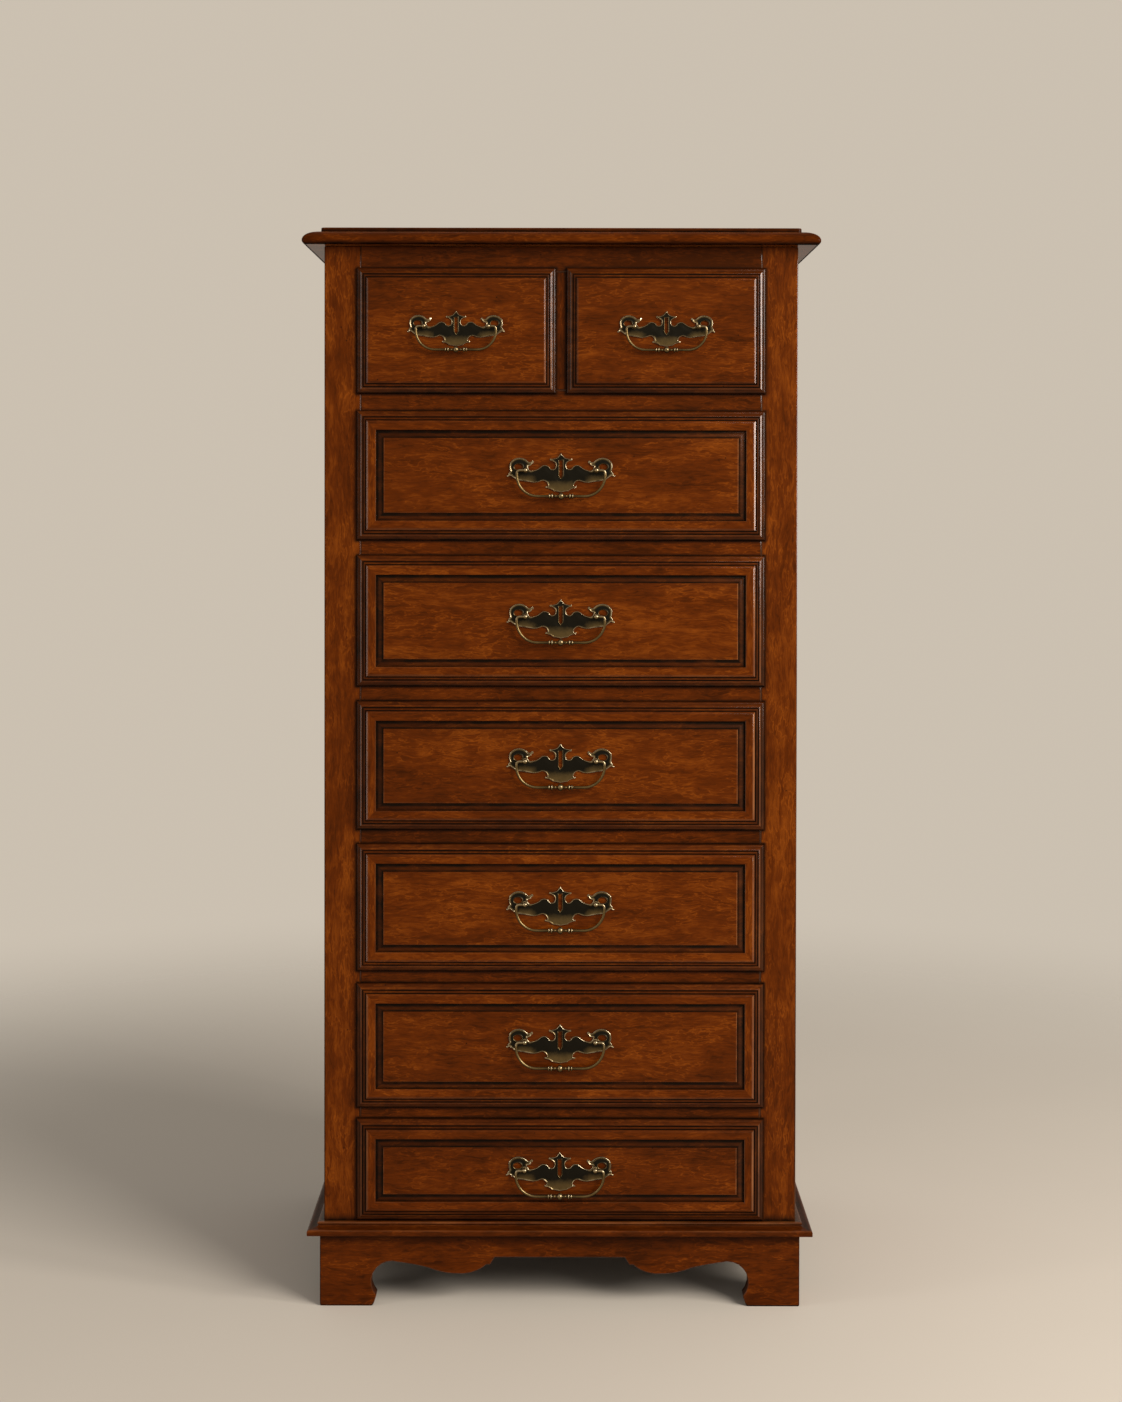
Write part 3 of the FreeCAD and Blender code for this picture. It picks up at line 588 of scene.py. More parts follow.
# Wear and painted highlight along the upper part of the ovolo.
ovolo_wear_and_highlight = (0, 0, 0, 0, 0, 0.2, 0.4, 0.5, 0.5)
for turn, wear_and_highlight in zip(arc_turns(10)[1:-1], ovolo_wear_and_highlight):
    nose_profile.append((nose_reach * (1 - math.cos(turn)), nose_return + ovolo_rise * math.sin(turn),
                         ovolo_glaze, wear_and_highlight))
nose_profile += [
    (nose_reach - quirk_width, nose_height, 0.6, 0.0),
    (nose_reach, nose_height + quirk_depth, 1.0, 0.0),
    (nose_reach + step_lean, top_thickness - step_ease, 0.4, 0.4),
    (nose_reach + step_lean + 0.3 * step_ease, top_thickness - 0.3 * step_ease, 0.25, 0.4),
    (nose_reach + step_lean + step_ease, top_thickness, 0.1, 0.0),
    (nose_reach + edge_margin, top_thickness, 0.0, 0.0),
]


def top_loop(inset, up):
    """The top's outline, moulded on three sides, worn round at its front corners and square behind."""
    z = top_low.z + up
    left, right, front = top_low.x + inset, top_high.x - inset, top_low.y + inset
    worn = [(top_corner * (1 - math.cos(turn)), top_corner * (1 - math.sin(turn)))
            for turn in arc_turns(4)]
    points = [Vector((left, top_high.y, z))]
    points += [Vector((left + along, front + back, z)) for along, back in worn]
    points += [Vector((right - along, front + back, z)) for along, back in reversed(worn)]
    return points + [Vector((right, top_high.y, z))]


top = WoodPiece("X", top_tone)
top_loops = [(top_loop(inset, up), glaze_and_shade, wear_and_highlight) for inset, up, glaze_and_shade, wear_and_highlight in nose_profile]
loft(top, top_loops, False)
top.face(top_loops[0][0], under_glaze, under_wear)
top.face(top_loops[-1][0])
back_outline = [loop[0][0] for loop in top_loops] + [loop[0][-1] for loop in reversed(top_loops)]
top.face(back_outline, sawn_glaze)
top_cherry = stained_cherry("stained_cherry_rubbed_dull", dull_specular)
show_wood("top_board_moulded", [top], "case", ["top_board"], top_cherry)

# Base mouldings
# A cherry moulding runs round the foot of the case on the plinth: a rounded nose, a cove and a
# bead against the case, mitred at the front corners and glued on. Its quirk is glazed near black,
# partly as painted shade, and the side pieces are painted darker as shade.
base_reach = 0.0192
nose_round = 0.0024
nose_top = 0.0072
cove_reach = 0.0102
cove_rise = 0.0031
bead_radius = 0.0015
bead_proud = 0.006
bead_level = 0.0124
lower_ease = 0.0009
lower_ease_middle = 0.0003
moulding_tone = -0.12
mitre_glaze = 0.5
# The side mouldings are painted darker as shade, with less wear and painted highlight.
side_moulding_shade = 0.4
base_profile = [
    (0.0, 0.0, 0.6, 0.0),
    (base_reach - lower_ease, 0.0, 0.6, 0.0),
    (base_reach - lower_ease_middle, lower_ease_middle, 0.4, 0.0),
    (base_reach, lower_ease, 0.25, 0.0),
]
for turn, wear_and_highlight in zip(arc_turns(5), (0.0, 0.1, 0.3, 0.35, 0.1, 0.0)):
    base_profile.append((base_reach - nose_round * (1 - math.cos(turn)),
                         nose_top - nose_round * (1 - math.sin(turn)), 0.15, wear_and_highlight))
for turn in arc_turns(6)[1:]:
    base_profile.append((base_reach - nose_round - cove_reach * math.sin(turn),
                         nose_top + cove_rise * (1 - math.cos(turn)), 0.4, 0.0))
base_profile.append((bead_proud, bead_level - bead_radius, 1.0, 0.0))
for turn in arc_turns(8)[1:]:
    base_profile.append((bead_proud + bead_radius * math.sin(2 * turn),
                         bead_level - bead_radius * math.cos(2 * turn), 0.15, 0.5))
base_profile.append((0.0, bead_level + bead_radius, 1.0, 0.0))


def moulding_piece(run, start, end, dark=0.0):
    """A moulding between two ends, which place each point of its profile, with added painted shade."""
    part = WoodPiece(run, moulding_tone)
    loops = [([start(proud, up), end(proud, up)], min(1.0, glaze_and_shade + dark), wear_and_highlight * (1 - dark))
             for proud, up, glaze_and_shade, wear_and_highlight in base_profile]
    loft(part, loops + loops[:1], False)
    for side in (0, 1):
        part.face([points[side] for points, _, _ in loops], mitre_glaze)
    return part


def base_corner(side):
    """Places of the profile along the mitre at one front corner."""
    return lambda proud, up: Vector((side * (half_case + proud), face_y - proud, plinth_top + up))


def base_back(side):
    """Places of the profile at the back of one side."""
    return lambda proud, up: Vector((side * (half_case + proud), back_y, plinth_top + up))


show_wood("front_base_moulded", [moulding_piece("X", base_corner(-1), base_corner(1))], "case",
          ["front_base_moulding"])
side_mouldings = [moulding_piece("Y", base_corner(side), base_back(side), side_moulding_shade)
                  for side in (-1, 1)]
show_wood("side_base_moulded", side_mouldings, "case", ["side_base_mouldings"])

# Plinth
# Scroll-cut cherry boards mitred at the front corners stand the chest on bracket feet. Their sawn
# edges are eased, and darker glaze lies along the scrolls. The boards are painted darker as shade,
# with painted shadow under the base moulding, along the bottoms of the feet and on the inner faces.
bracket_start = (0.301, 0.0)
bracket_strokes = [
    [(0.3135, 0.070), (0.3225, 0.141)],
    [(0.293, 0.3176), (0.450, 0.597)],
    [(0.533, 0.567), (0.621, 0.522)],
    [(0.708, 0.459), (0.792, 0.441)],
    [(0.887, 0.473), (0.952, 0.565)],
    [(0.974, 0.565)],
    [(1.0, 0.665)],
]
front_flat_half = 0.0795
side_flat_half = 0.0194
scroll_ease = 0.0008
scroll_steps = 9
foot_round = 0.0022
foot_lift = 0.0009
# Painted shadow under the base moulding: depth below the top of the board and darkness.
shadow_bands = [(0.016, 0.0), (0.009, 0.3), (0.004, 0.55), (0.0, 0.75)]
# The plinth is painted darker as shade.
plinth_shade_tone = -0.2
scroll_glaze = 0.1
scroll_wear = 0.35
scroll_sawn_glaze = 0.45
# Painted contact shadow along the bottoms of the feet, and painted shade on the inner faces.
foot_contact_shade = 1.0
inner_face_shade = 0.9


def arc_through(a, b, c, steps):
    """Points after a on the arc from a through b to c."""
    (ax, ay), (bx, by), (cx, cy) = a, b, c
    turn = 2 * (ax * (by - cy) + bx * (cy - ay) + cx * (ay - by))
    if abs(turn) < 1e-9:
        return [c]
    aa, bb, cc = ax * ax + ay * ay, bx * bx + by * by, cx * cx + cy * cy
    ox = (aa * (by - cy) + bb * (cy - ay) + cc * (ay - by)) / turn
    oy = (aa * (cx - bx) + bb * (ax - cx) + cc * (bx - ax)) / turn
    radius = math.hypot(ax - ox, ay - oy)
    start, middle, end = (math.atan2(y - oy, x - ox) for x, y in (a, b, c))
    sweep = (end - start) % (2 * math.pi)
    if (middle - start) % (2 * math.pi) > sweep:
        sweep -= 2 * math.pi
    turns = [start + sweep * step / steps for step in range(1, steps)]
    return [(ox + radius * math.cos(turn), oy + radius * math.sin(turn)) for turn in turns] + [c]


def stroke_points(start, strokes, scale, steps):
    """Points along lines and arcs, scaled from shares to lengths."""
    def place(point):
        return point[0] * scale[0], point[1] * scale[1]

    points = [place(start)]
    for stroke in strokes:
        if len(stroke) == 1:
            points.append(place(stroke[0]))
        else:
            points += arc_through(points[-1], place(stroke[0]), place(stroke[1]), steps)
    return points


def rounded_corner(before, here, after):
    """Points round the worn corner of a foot."""
    first = Vector(here) + (Vector(before) - Vector(here)).normalized() * foot_round
    last = Vector(here) + (Vector(after) - Vector(here)).normalized() * foot_round
    return [tuple((1 - share) ** 2 * first + 2 * share * (1 - share) * Vector(here) + share ** 2 * last)
            for share in (0.0, 0.33, 0.67, 1.0)]


def scroll_outline(half_length, flat_half, height):
    """Outline of a plinth board from its left foot round to its right foot and back over the top."""
    reach = half_length - flat_half
    scroll = stroke_points(bracket_start, bracket_strokes, (reach, height), scroll_steps)
    half = rounded_corner((0.0, height), (0.0, 0.0), scroll[0])
    half += rounded_corner((0.0, 0.0), scroll[0], scroll[3]) + scroll[3:]
    left = [(along - half_length, up) for along, up in half]
    right = [(half_length - along, up) for along, up in reversed(half)]
    rises = [height - down for down, _ in shadow_bands]
    right += [(half_length, up) for up in rises]
    return left + right + [(-half_length, up) for up in reversed(rises)]


def inset_outline(outline, inset):
    """The same outline drawn in by a small even inset."""
    drawn = []
    count = len(outline)
    for k in range(count):
        before, here, after = (Vector(outline[(k + step) % count]) for step in (-1, 0, 1))
        one = (here - before).normalized()
        two = (after - here).normalized()
        middle = Vector((-one.y - two.y, one.x + two.x))
        if middle.length < 0.2:
            middle = Vector((-one.y, one.x))
        middle.normalize()
        reach = inset / max(0.45, middle.dot(Vector((-one.y, one.x))))
        drawn.append(tuple(here + middle * reach))
    return drawn


def scroll_board(part, outline, place, thickness, mitre):
    """A board with the outline on both faces, eased, its ends drawn in behind for a mitre."""
    eased = inset_outline(outline, scroll_ease)
    limit = max(point[0] for point in outline)

    def layer(points, depth):
        kept = []
        for along, up in points:
            bound = limit - (depth if mitre else 0.0)
            low_bound = -bound if mitre == 2 else -limit
            kept.append(place(max(low_bound, min(bound, along)), depth, up))
        return kept

    # Points low on the feet take the painted contact shadow.
    under = [up < foot_round for _, up in outline]
    eased = [(along, up + foot_lift if low else up) for (along, up), low in zip(eased, under)]
    arris = tuple(foot_contact_shade if low else scroll_glaze for low in under)
    sawn = tuple(foot_contact_shade if low else scroll_sawn_glaze for low in under)
    loops = [(layer(eased, 0.0), arris, scroll_wear), (layer(outline, scroll_ease), sawn, 0.0),
             (layer(outline, thickness), inner_face_shade, 0.0)]
    loft(part, loops, True, None, [0.0 if low else 1.0 for low in under])
    face = loops[0][0]
    bands = len(shadow_bands)
    rising, falling = face[-2 * bands:-bands], face[:-bands - 1:-1]
    part.face(face[:-2 * bands] + [rising[0], falling[0]])
    for k in range(bands - 1):
        low, high = shadow_bands[k][1], shadow_bands[k + 1][1]
        part.face([rising[k], rising[k + 1], falling[k + 1], falling[k]], [low, high, high, low])
    part.face(loops[-1][0], inner_face_shade)


apron_low, apron_high = (Vector(corner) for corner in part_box("front_apron"))
plinth_thickness = apron_high.y - apron_low.y
plinth_height = apron_high.z
apron = WoodPiece("X", plinth_shade_tone)
scroll_board(apron, scroll_outline(apron_high.x, front_flat_half, plinth_height),
             lambda along, depth, up: Vector((along, apron_low.y + depth, up)), plinth_thickness, 2)
show_wood("front_apron_scrolled", [apron], "case", ["front_apron"])
side_half = (back_y - apron_low.y) / 2
side_middle = (back_y + apron_low.y) / 2
side_outline = scroll_outline(side_half, side_flat_half, plinth_height)
for side, name in ((-1, "left_plinth_side"), (1, "right_plinth_side")):
    board = WoodPiece("Y", plinth_shade_tone)
    scroll_board(
        board, side_outline,
        lambda along, depth, up: Vector((side * (apron_high.x - depth), side_middle - along, up)),
        plinth_thickness, 1)
    show_wood(f"{name}_scrolled", [board], "case", [name])

# Drawer fronts
# Lipped cherry fronts with an ovolo, a quirk and two small steps round the edge. The six wide ones
# have a mitred frame round a raised field with an ogee edge; the two small ones are one board. The
# quirks and the groove round the field are glazed near black, partly as painted shade; the arrises
# are lightened as wear and painted highlight, most on the right; and the lowest fronts are painted
# darker as shade.
front_lip = 0.0094
# Rows of inset, rise, glaze and painted shade (one value, or one for the bottom, right, top and left),
# and wear and painted highlight.
edge_profile = [
    (0.0, 0.0, 1.0, 0.0), (0.0, 0.0018, 0.97, 0.0), (0.0002, 0.0026, (0.97, 0.95, 0.9, 0.97), 0.0),
    (0.0007, 0.0034, (0.93, 0.9, 0.75, 0.93), 0.05), (0.0015, 0.0041, (0.87, 0.8, 0.5, 0.84), 0.25),
    (0.0024, 0.0046, (0.75, 0.7, 0.36, 0.78), 0.3), (0.0036, 0.00485, (0.65, 0.7, 0.34, 0.74), 0.1),
    (0.0044, 0.0049, (0.75, 0.85, 0.5, 0.9), 0.0), (0.00475, 0.00515, (0.5, 0.65, 0.3, 0.7), 0.5),
    (0.0054, 0.00553, (0.4, 0.45, 0.22, 0.55), 0.8), (0.0061, 0.00593, (0.35, 0.38, 0.2, 0.45), 0.8),
    (0.0066, 0.00622, (0.35, 0.35, 0.24, 0.45), 0.7), (0.0070, 0.0064, 0.5, 0.3),
    (0.0073, 0.00645, 0.75, 0.0), (0.0074, 0.0060, 1.0, 0.0), (0.0076, 0.0056, 1.0, 0.0),
    (0.0086, 0.0056, 1.0, 0.0), (0.0088, 0.0064, 0.9, 0.0), (0.0089, 0.0070, 0.6, 0.1),
    (0.0094, 0.00725, (0.42, 0.6, 0.34, 0.65), 0.1), (0.0106, 0.00735, (0.45, 0.65, 0.38, 0.7), 0.0),
    (0.0110, 0.0073, 0.8, 0.0), (0.0111, 0.0069, 1.0, 0.0), (0.0113, 0.0066, 1.0, 0.0),
    (0.0121, 0.0066, 1.0, 0.0), (0.0123, 0.0073, 0.9, 0.0), (0.0125, 0.00805, 0.4, 0.9),
    (0.0132, 0.00847, 0.12, 1.0), (0.0139, 0.00888, 0.1, 1.0), (0.0145, 0.00922, 0.08, 0.8),
    (0.0149, 0.00938, 0.06, 0.2), (0.0154, front_lip, 0.05, 0.0),
]
# The small fronts move the painted highlight from the inner steps to the outer ovolo.
inner_step = 0.012
small_inner_highlight_gain = 0.45
small_outer_highlight_gain = 1.35
small_edge = [(inset, up, glaze_and_shade,
               small_inner_highlight_gain * wear_and_highlight if inset > inner_step else min(1.0, small_outer_highlight_gain * wear_and_highlight))
              for inset, up, glaze_and_shade, wear_and_highlight in edge_profile]
small_field = [(0.0172, front_lip, 0.04, 0.0), (0.0280, front_lip, 0.0, 0.0)]
frame_band = [(0.0172, front_lip, 0.0, 0.0),
              (0.0222, front_lip, 0.0, 0.0),
              (0.0232, front_lip - 0.0001, 0.1, 0.6),
              (0.0239, front_lip - 0.0006, (0.15, 0.5, 0.6, 0.5), 0.5)]
# The groove is painted black as shade, less at the bottom, where the light falls into it.
field_groove = [(0.0242, front_lip - 0.0030, (0.85, 1.0, 1.0, 1.0), 0.0),
                (0.0246, front_lip - 0.0035, (0.9, 1.0, 1.0, 1.0), 0.0),
                (0.0256, front_lip - 0.0035, (0.7, 1.0, 1.0, 1.0), 0.0)]
field_ogee = [(0.0264, front_lip - 0.0031, (0.55, 0.85, 1.0, 0.92), 0.1),
              (0.0272, front_lip - 0.0029, (0.52, 0.75, 0.95, 0.82), 0.2),
              (0.0280, front_lip - 0.0027, (0.52, 0.68, 0.75, 0.76), 0.2),
              (0.0292, front_lip - 0.0022, (0.6, 0.68, 0.62, 0.76), 0.15),
              (0.0302, front_lip - 0.0018, (0.94, 0.7, 0.6, 0.8), 0.1),
              (0.0312, front_lip - 0.0014, (1.0, 0.76, 0.66, 0.88), 0.0),
              (0.0322, front_lip - 0.0012, (1.0, 0.9, 0.9, 0.97), 0.0),
              (0.0331, front_lip - 0.0011, 1.0, 0.0),
              (0.0333, front_lip - 0.0005, (0.9, 0.5, 0.8, 0.5), 0.8),
              (0.0337, front_lip - 0.0001, (0.4, 0.15, 0.3, 0.2), 0.8)]
wide_field = [(0.0344, front_lip, (0.1, 0.05, 0.15, 0.05), 0.0), (0.0480, front_lip, 0.0, 0.0)]
# Share of wear and painted highlight on the bottom, right, top and left, most on the right.
wear_and_highlight_shares = (0.25, 1.0, 0.05, 0.5)
# Tones of the fronts from the top, their own tones with the lowest painted darker as shade.
front_tones = (-0.08, -0.04, 0.07, 0.09, -0.01, 0.01, -0.07, -0.12)
lip_back_glaze = 0.6
core_tone = 0.1
core_glaze = 0.2
socket_glaze = 0.1
tail_length = 0.009
tail_pitch = 0.042
tail_flare = 0.0015
box_thickness = 0.012
front_play = 0.0015
run_play = 0.0003
side_drop = 0.003
core_thickness = 0.013
core_ease = (0.0002, 0.0002, 0.0002)


def front_loop(low, high, lip_back, inset, up):
    """Corners of a front's outline at one inset and height."""
    y = lip_back - up
    return [Vector((low.x + inset, y, low.z + inset)), Vector((high.x - inset, y, low.z + inset)),
            Vector((high.x - inset, y, high.z - inset)), Vector((low.x + inset, y, high.z - inset))]


def tail_places(low, high):
    """Middle and half root of each dovetail up a drawer side."""
    count = max(2, int((high - low) / tail_pitch))
    pitch = (high - low) / count
    return [(low + pitch * (step + 0.5), pitch / 4) for step in range(count)]


def add_prism(part, outline, reach, glaze_and_shade=0.0):
    """A closed solid from a flat outline drawn out along a vector."""
    part.shell()
    far = [point + reach for point in outline]
    loft(part, [(outline, glaze_and_shade, 0.0), (far, glaze_and_shade, 0.0)], True)
    part.face(outline, glaze_and_shade)
    part.face(far, glaze_and_shade)


def box_span(low, high):
    """Left and right of a drawer box, and the bottom and top of its sides."""
    reach = lip_overlap + front_play
    return (low.x + reach, high.x - reach, low.z + lip_overlap + run_play,
            high.z - lip_overlap - front_play - side_drop)


def drawer_front(number, wide):
    """Moulded front with its core behind, notched at the ends for the tails of the sides."""
    low, high = (Vector(corner) for corner in lips[number])
    lip_back = high.y - core_thickness
    core_back = high.y
    part = WoodPiece("X", front_tones[number - 1])
    stages = [(edge_profile + frame_band + field_groove[:1], ["X", "Z", "X", "Z"]),
              (field_groove + field_ogee + wide_field, None)]
    if not wide:
        stages = [(small_edge + small_field, None)]
    for profile, runs in stages:
        loops = [(front_loop(low, high, lip_back, inset, up), glaze_and_shade, wear_and_highlight)
                 for inset, up, glaze_and_shade, wear_and_highlight in profile]
        loft(part, loops, True, runs, wear_and_highlight_shares)
    part.face(loops[-1][0])
    part.face(front_loop(low, high, lip_back, 0.0, 0.0), lip_back_glaze)
    left, right, box_low, box_high = box_span(low, high)
    core_high = high.z - lip_overlap - front_play
    core = WoodPiece("X", core_tone)
    tip = core_back - tail_length
    middle_low = Vector((left + box_thickness, lip_back, box_low))
    middle_high = Vector((right - box_thickness, core_back, core_high))
    add_board(core, middle_low, middle_high, core_ease, core_glaze)
    for end in (left, right - box_thickness):
        outline = [(lip_back, box_low), (core_back, box_low)]
        for z, root in tail_places(box_low, box_high):
            outline += [(core_back, z - root), (tip, z - root - tail_flare), (tip, z + root + tail_flare),
                        (core_back, z + root)]
        outline += [(core_back, core_high), (lip_back, core_high)]
        outline = [Vector((end, y, z)) for y, z in outline]
        add_prism(core, outline, Vector((box_thickness, 0, 0)), socket_glaze)
    show_wood(f"drawer_{number}_front_moulded", [part, core], f"drawer_{number}",
              [f"drawer_{number}_front"])


for number in drawer_numbers:
    drawer_front(number, number not in small_drawers)

# Drawer boxes
# Pale planed hardwood sides are dovetailed into the front and carry the back and a thin plywood
# bottom in grooves. Their top edges are rounded over and they have only a thin sealer.
pale_dark = (0.36, 0.215, 0.105, 1)
pale_mid = (0.50, 0.335, 0.185, 1)
pale_light = (0.60, 0.43, 0.26, 1)
pale_colours = (pale_dark, pale_mid, pale_light)
pale_places = (0.15, 0.5, 0.85)
pale_fibre_scale = (9.0, 620.0, 620.0)
pale_band_stretch = (0.9, 24.0, 24.0)
pale_cloud_scale = (4.0, 9.0, 9.0)
pale_bump = 0.2
pale_bump_height = 0.0004
board_bands = 1.0
sealed_roughness = 0.5
box_ease = 0.0016
back_ease = (0.0008, 0.0008, 0.0008)
panel_lift = 0.008
panel_thickness = 0.005
groove_depth = 0.005


def build_pale_grain():
    """Group for unstained wood: fibres, growth bands and faint patches."""
    tree, given, out = shader_group("pale grain", [("Grain", "Vector"), ("Band Scale", "Float")],
                                    [("Value", "Float"), ("Height", "Float")])
    grain = given.outputs["Grain"]
    fibre = stretched_noise(tree, grain, pale_fibre_scale, 3.0, 0.6)
    place = add_node(tree, "VectorMath", {0: grain, 1: pale_band_stretch}, operation="MULTIPLY")
    links = {"Vector": place.outputs[0], "Scale": given.outputs["Band Scale"], "Detail": 2.0,
             "Distortion": 0.6}
    bands = add_node(tree, "TexNoise", links).outputs["Fac"]
    cloud = stretched_noise(tree, grain, pale_cloud_scale, 2.0, 0.5)
    value = weighted(tree, 0.5, [(fibre, 0.6), (bands, 0.9), (cloud, 0.5)])
    tree.links.new(value, out.inputs["Value"])
    tree.links.new(weighted(tree, 0.5, [(fibre, 0.9), (bands, 0.2)]), out.inputs["Height"])
    return tree


pale_grain = build_pale_grain()


def pale_wood(name, order, band_scale, colours, rough):
    """Sealed pale wood; order is the axes along, across and through, or none for a piece's own grain."""
    material = bpy.data.materials.new(name)
    material.use_nodes = True
    tree = material.node_tree
    shader = tree.nodes["Principled BSDF"]
    if order:
        place = add_node(tree, "SeparateXYZ", {0: add_node(tree, "TexCoord").outputs["Object"]})
        axes = {slot: place.outputs["XYZ".index(axis)] for slot, axis in enumerate(order)}
        grain = add_node(tree, "CombineXYZ", axes).outputs[0]
    else:
        grain = add_node(tree, "Attribute", attribute_name="grain").outputs["Vector"]
    figure = tree.nodes.new("ShaderNodeGroup")
    figure.node_tree = pale_grain
    figure.inputs["Band Scale"].default_value = band_scale
    tree.links.new(grain, figure.inputs["Grain"])
    colour = colour_ramp(tree, figure.outputs["Value"], list(zip(pale_places, colours)))
    tree.links.new(colour, shader.inputs["Base Color"])
    tree.links.new(ranged(tree, figure.outputs["Value"], 0.2, 0.8, rough - 0.06, rough + 0.08),
                   shader.inputs["Roughness"])
    links = {"Strength": pale_bump, "Distance": pale_bump_height, "Height": figure.outputs["Height"]}
    tree.links.new(add_node(tree, "Bump", links).outputs["Normal"], shader.inputs["Normal"])
    return material


box_wood = pale_wood("drawer_box_wood", None, board_bands, pale_colours, sealed_roughness)


def rounded_side(outer, inner, low, high):
    """Section across a drawer side: grooved inside for the bottom and rounded over at the top."""
    inward = 1 if inner > outer else -1
    groove = inner - inward * groove_depth
    lift = low + panel_lift
    over = lift + panel_thickness
    section = [(outer, low), (inner, low), (inner, lift), (groove, lift), (groove, over), (inner, over)]
    turns = arc_turns(4)
    section += [(inner - inward * box_ease * (1 - math.cos(turn)), high - box_ease * (1 - math.sin(turn)))
                for turn in turns]
    section += [(outer + inward * box_ease * (1 - math.cos(turn)), high - box_ease * (1 - math.sin(turn)))
                for turn in reversed(turns)]
    return section


def drawer_box(number):
    """Two sides with tails at the front, and the back between them over the bottom."""
    low, high = lips[number]
    left, right, box_low, box_high = box_span(low, high)
    core_back = high.y
    box_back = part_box(f"drawer_{number}_box")[1].y
    tip = core_back - tail_length
    parts = []
    for outer, inner in ((left, left + box_thickness), (right, right - box_thickness)):
        side = WoodPiece("Y")
        section = [Vector((x, core_back, z)) for x, z in rounded_side(outer, inner, box_low, box_high)]
        add_prism(side, section, Vector((0, box_back - core_back, 0)))
        for z, root in tail_places(box_low, box_high):
            tail = [Vector((outer, core_back, z - root)), Vector((outer, tip, z - root - tail_flare)),
                    Vector((outer, tip, z + root + tail_flare)), Vector((outer, core_back, z + root))]
            add_prism(side, tail, Vector((inner - outer, 0, 0)))
        parts.append(side)
    back = WoodPiece("X")
    back_low = Vector((left + box_thickness, box_back - box_thickness,
                       box_low + panel_lift + panel_thickness))
    back_high = Vector((right - box_thickness, box_back, box_high))
    add_board(back, back_low, back_high, back_ease)
    parts.append(back)
    show_wood(f"drawer_{number}_box_boards", parts, f"drawer_{number}", [f"drawer_{number}_box"],
              box_wood)


for number in drawer_numbers:
    drawer_box(number)

# Drawer bottoms, back and case bottom
# Thin plywood sheets: the drawer bottoms slide into the grooves of their boxes, the back is nailed
# into rabbets in the sides, and the case bottom, painted dark as shade under the chest, lies in
# rabbets over the plinth.
ply_colours = ((0.30, 0.175, 0.085, 1), (0.43, 0.275, 0.145, 1), (0.53, 0.37, 0.21, 1))
# Dark colours for parts under the chest, painted dark as shade there.
shade_dark_colours = ((0.030, 0.016, 0.008, 1), (0.045, 0.025, 0.013, 1), (0.060, 0.034, 0.018, 1))
ply_bands = 0.55
ply_roughness = 0.6
back_roughness = 0.62
ply_flat = pale_wood("plywood_side_to_side", "XYZ", ply_bands, ply_colours, ply_roughness)
ply_shade_dark = pale_wood("plywood_painted_shade_dark", "XYZ", ply_bands, shade_dark_colours, ply_roughness)
ply_upright = pale_wood("plywood_upright", "ZXY", ply_bands, ply_colours, back_roughness)


def finish_node(name, material):
    """Gives a carried-over solid its finish."""
    for place in frame["nodes"][name].material_slots:
        place.material = material


for number in drawer_numbers:
    finish_node(f"drawer_{number}_bottom", ply_flat)
finish_node("bottom_panel", ply_shade_dark)
finish_node("back_panel", ply_upright)

# Inner frame
# Plain planed hardwood that never shows from outside: runners and guides for each row and cleats under
# the top. The glue blocks in the feet and the board across the back of the plinth are painted dark as
# shade under the chest.
planed_roughness = 0.55
stained_roughness = 0.6
runner_wood = pale_wood("runner_wood", "YXZ", board_bands, pale_colours, planed_roughness)
rear_board_wood = pale_wood("rear_board_wood", "XZY", board_bands, shade_dark_colours, stained_roughness)
block_wood = pale_wood("glue_block_wood", "ZXY", board_bands, shade_dark_colours, stained_roughness)
finish_node("drawer_runners", runner_wood)
finish_node("top_cleats", runner_wood)
finish_node("rear_plinth", rear_board_wood)
finish_node("corner_blocks", block_wood)

# Case fasteners
# Steel screws go up through the cleats into the top, and flat-headed nails hold the back in its
# rabbets. They are bright wire with a dull grey skin.
steel_dull = (0.16, 0.155, 0.15, 1)
steel_bright = (0.42, 0.41, 0.40, 1)
steel_rust = (0.10, 0.045, 0.02, 1)
steel_patch_scale = (420.0, 420.0, 420.0)
steel_rust_scale = (150.0, 150.0, 150.0)
steel_bump = 0.25
steel_bump_height = 0.0002
crown_share = 0.86
shank_sides = 14


def fastener_steel():
    """Drawn steel with dull patches and a little rust."""
    material = bpy.data.materials.new("steel")
    material.use_nodes = True
    tree = material.node_tree
    shader = tree.nodes["Principled BSDF"]
    place = add_node(tree, "TexCoord").outputs["Object"]
    patch = stretched_noise(tree, place, steel_patch_scale, 3.0, 0.6)
    rust = stretched_noise(tree, place, steel_rust_scale, 3.0, 0.6)
    colour = mixed(tree, ranged(tree, patch, 0.35, 0.65), steel_dull, steel_bright)
    colour = mixed(tree, ranged(tree, rust, 0.55, 0.7, 0.0, 0.7), colour, steel_rust)
    tree.links.new(colour, shader.inputs["Base Color"])
    tree.links.new(ranged(tree, rust, 0.52, 0.68, 1.0, 0.2), shader.inputs["Metallic"])
    tree.links.new(ranged(tree, patch, 0.3, 0.7, 0.52, 0.34), shader.inputs["Roughness"])
    links = {"Strength": steel_bump, "Distance": steel_bump_height, "Height": patch}
    tree.links.new(add_node(tree, "Bump", links).outputs["Normal"], shader.inputs["Normal"])
    return material


steel = fastener_steel()


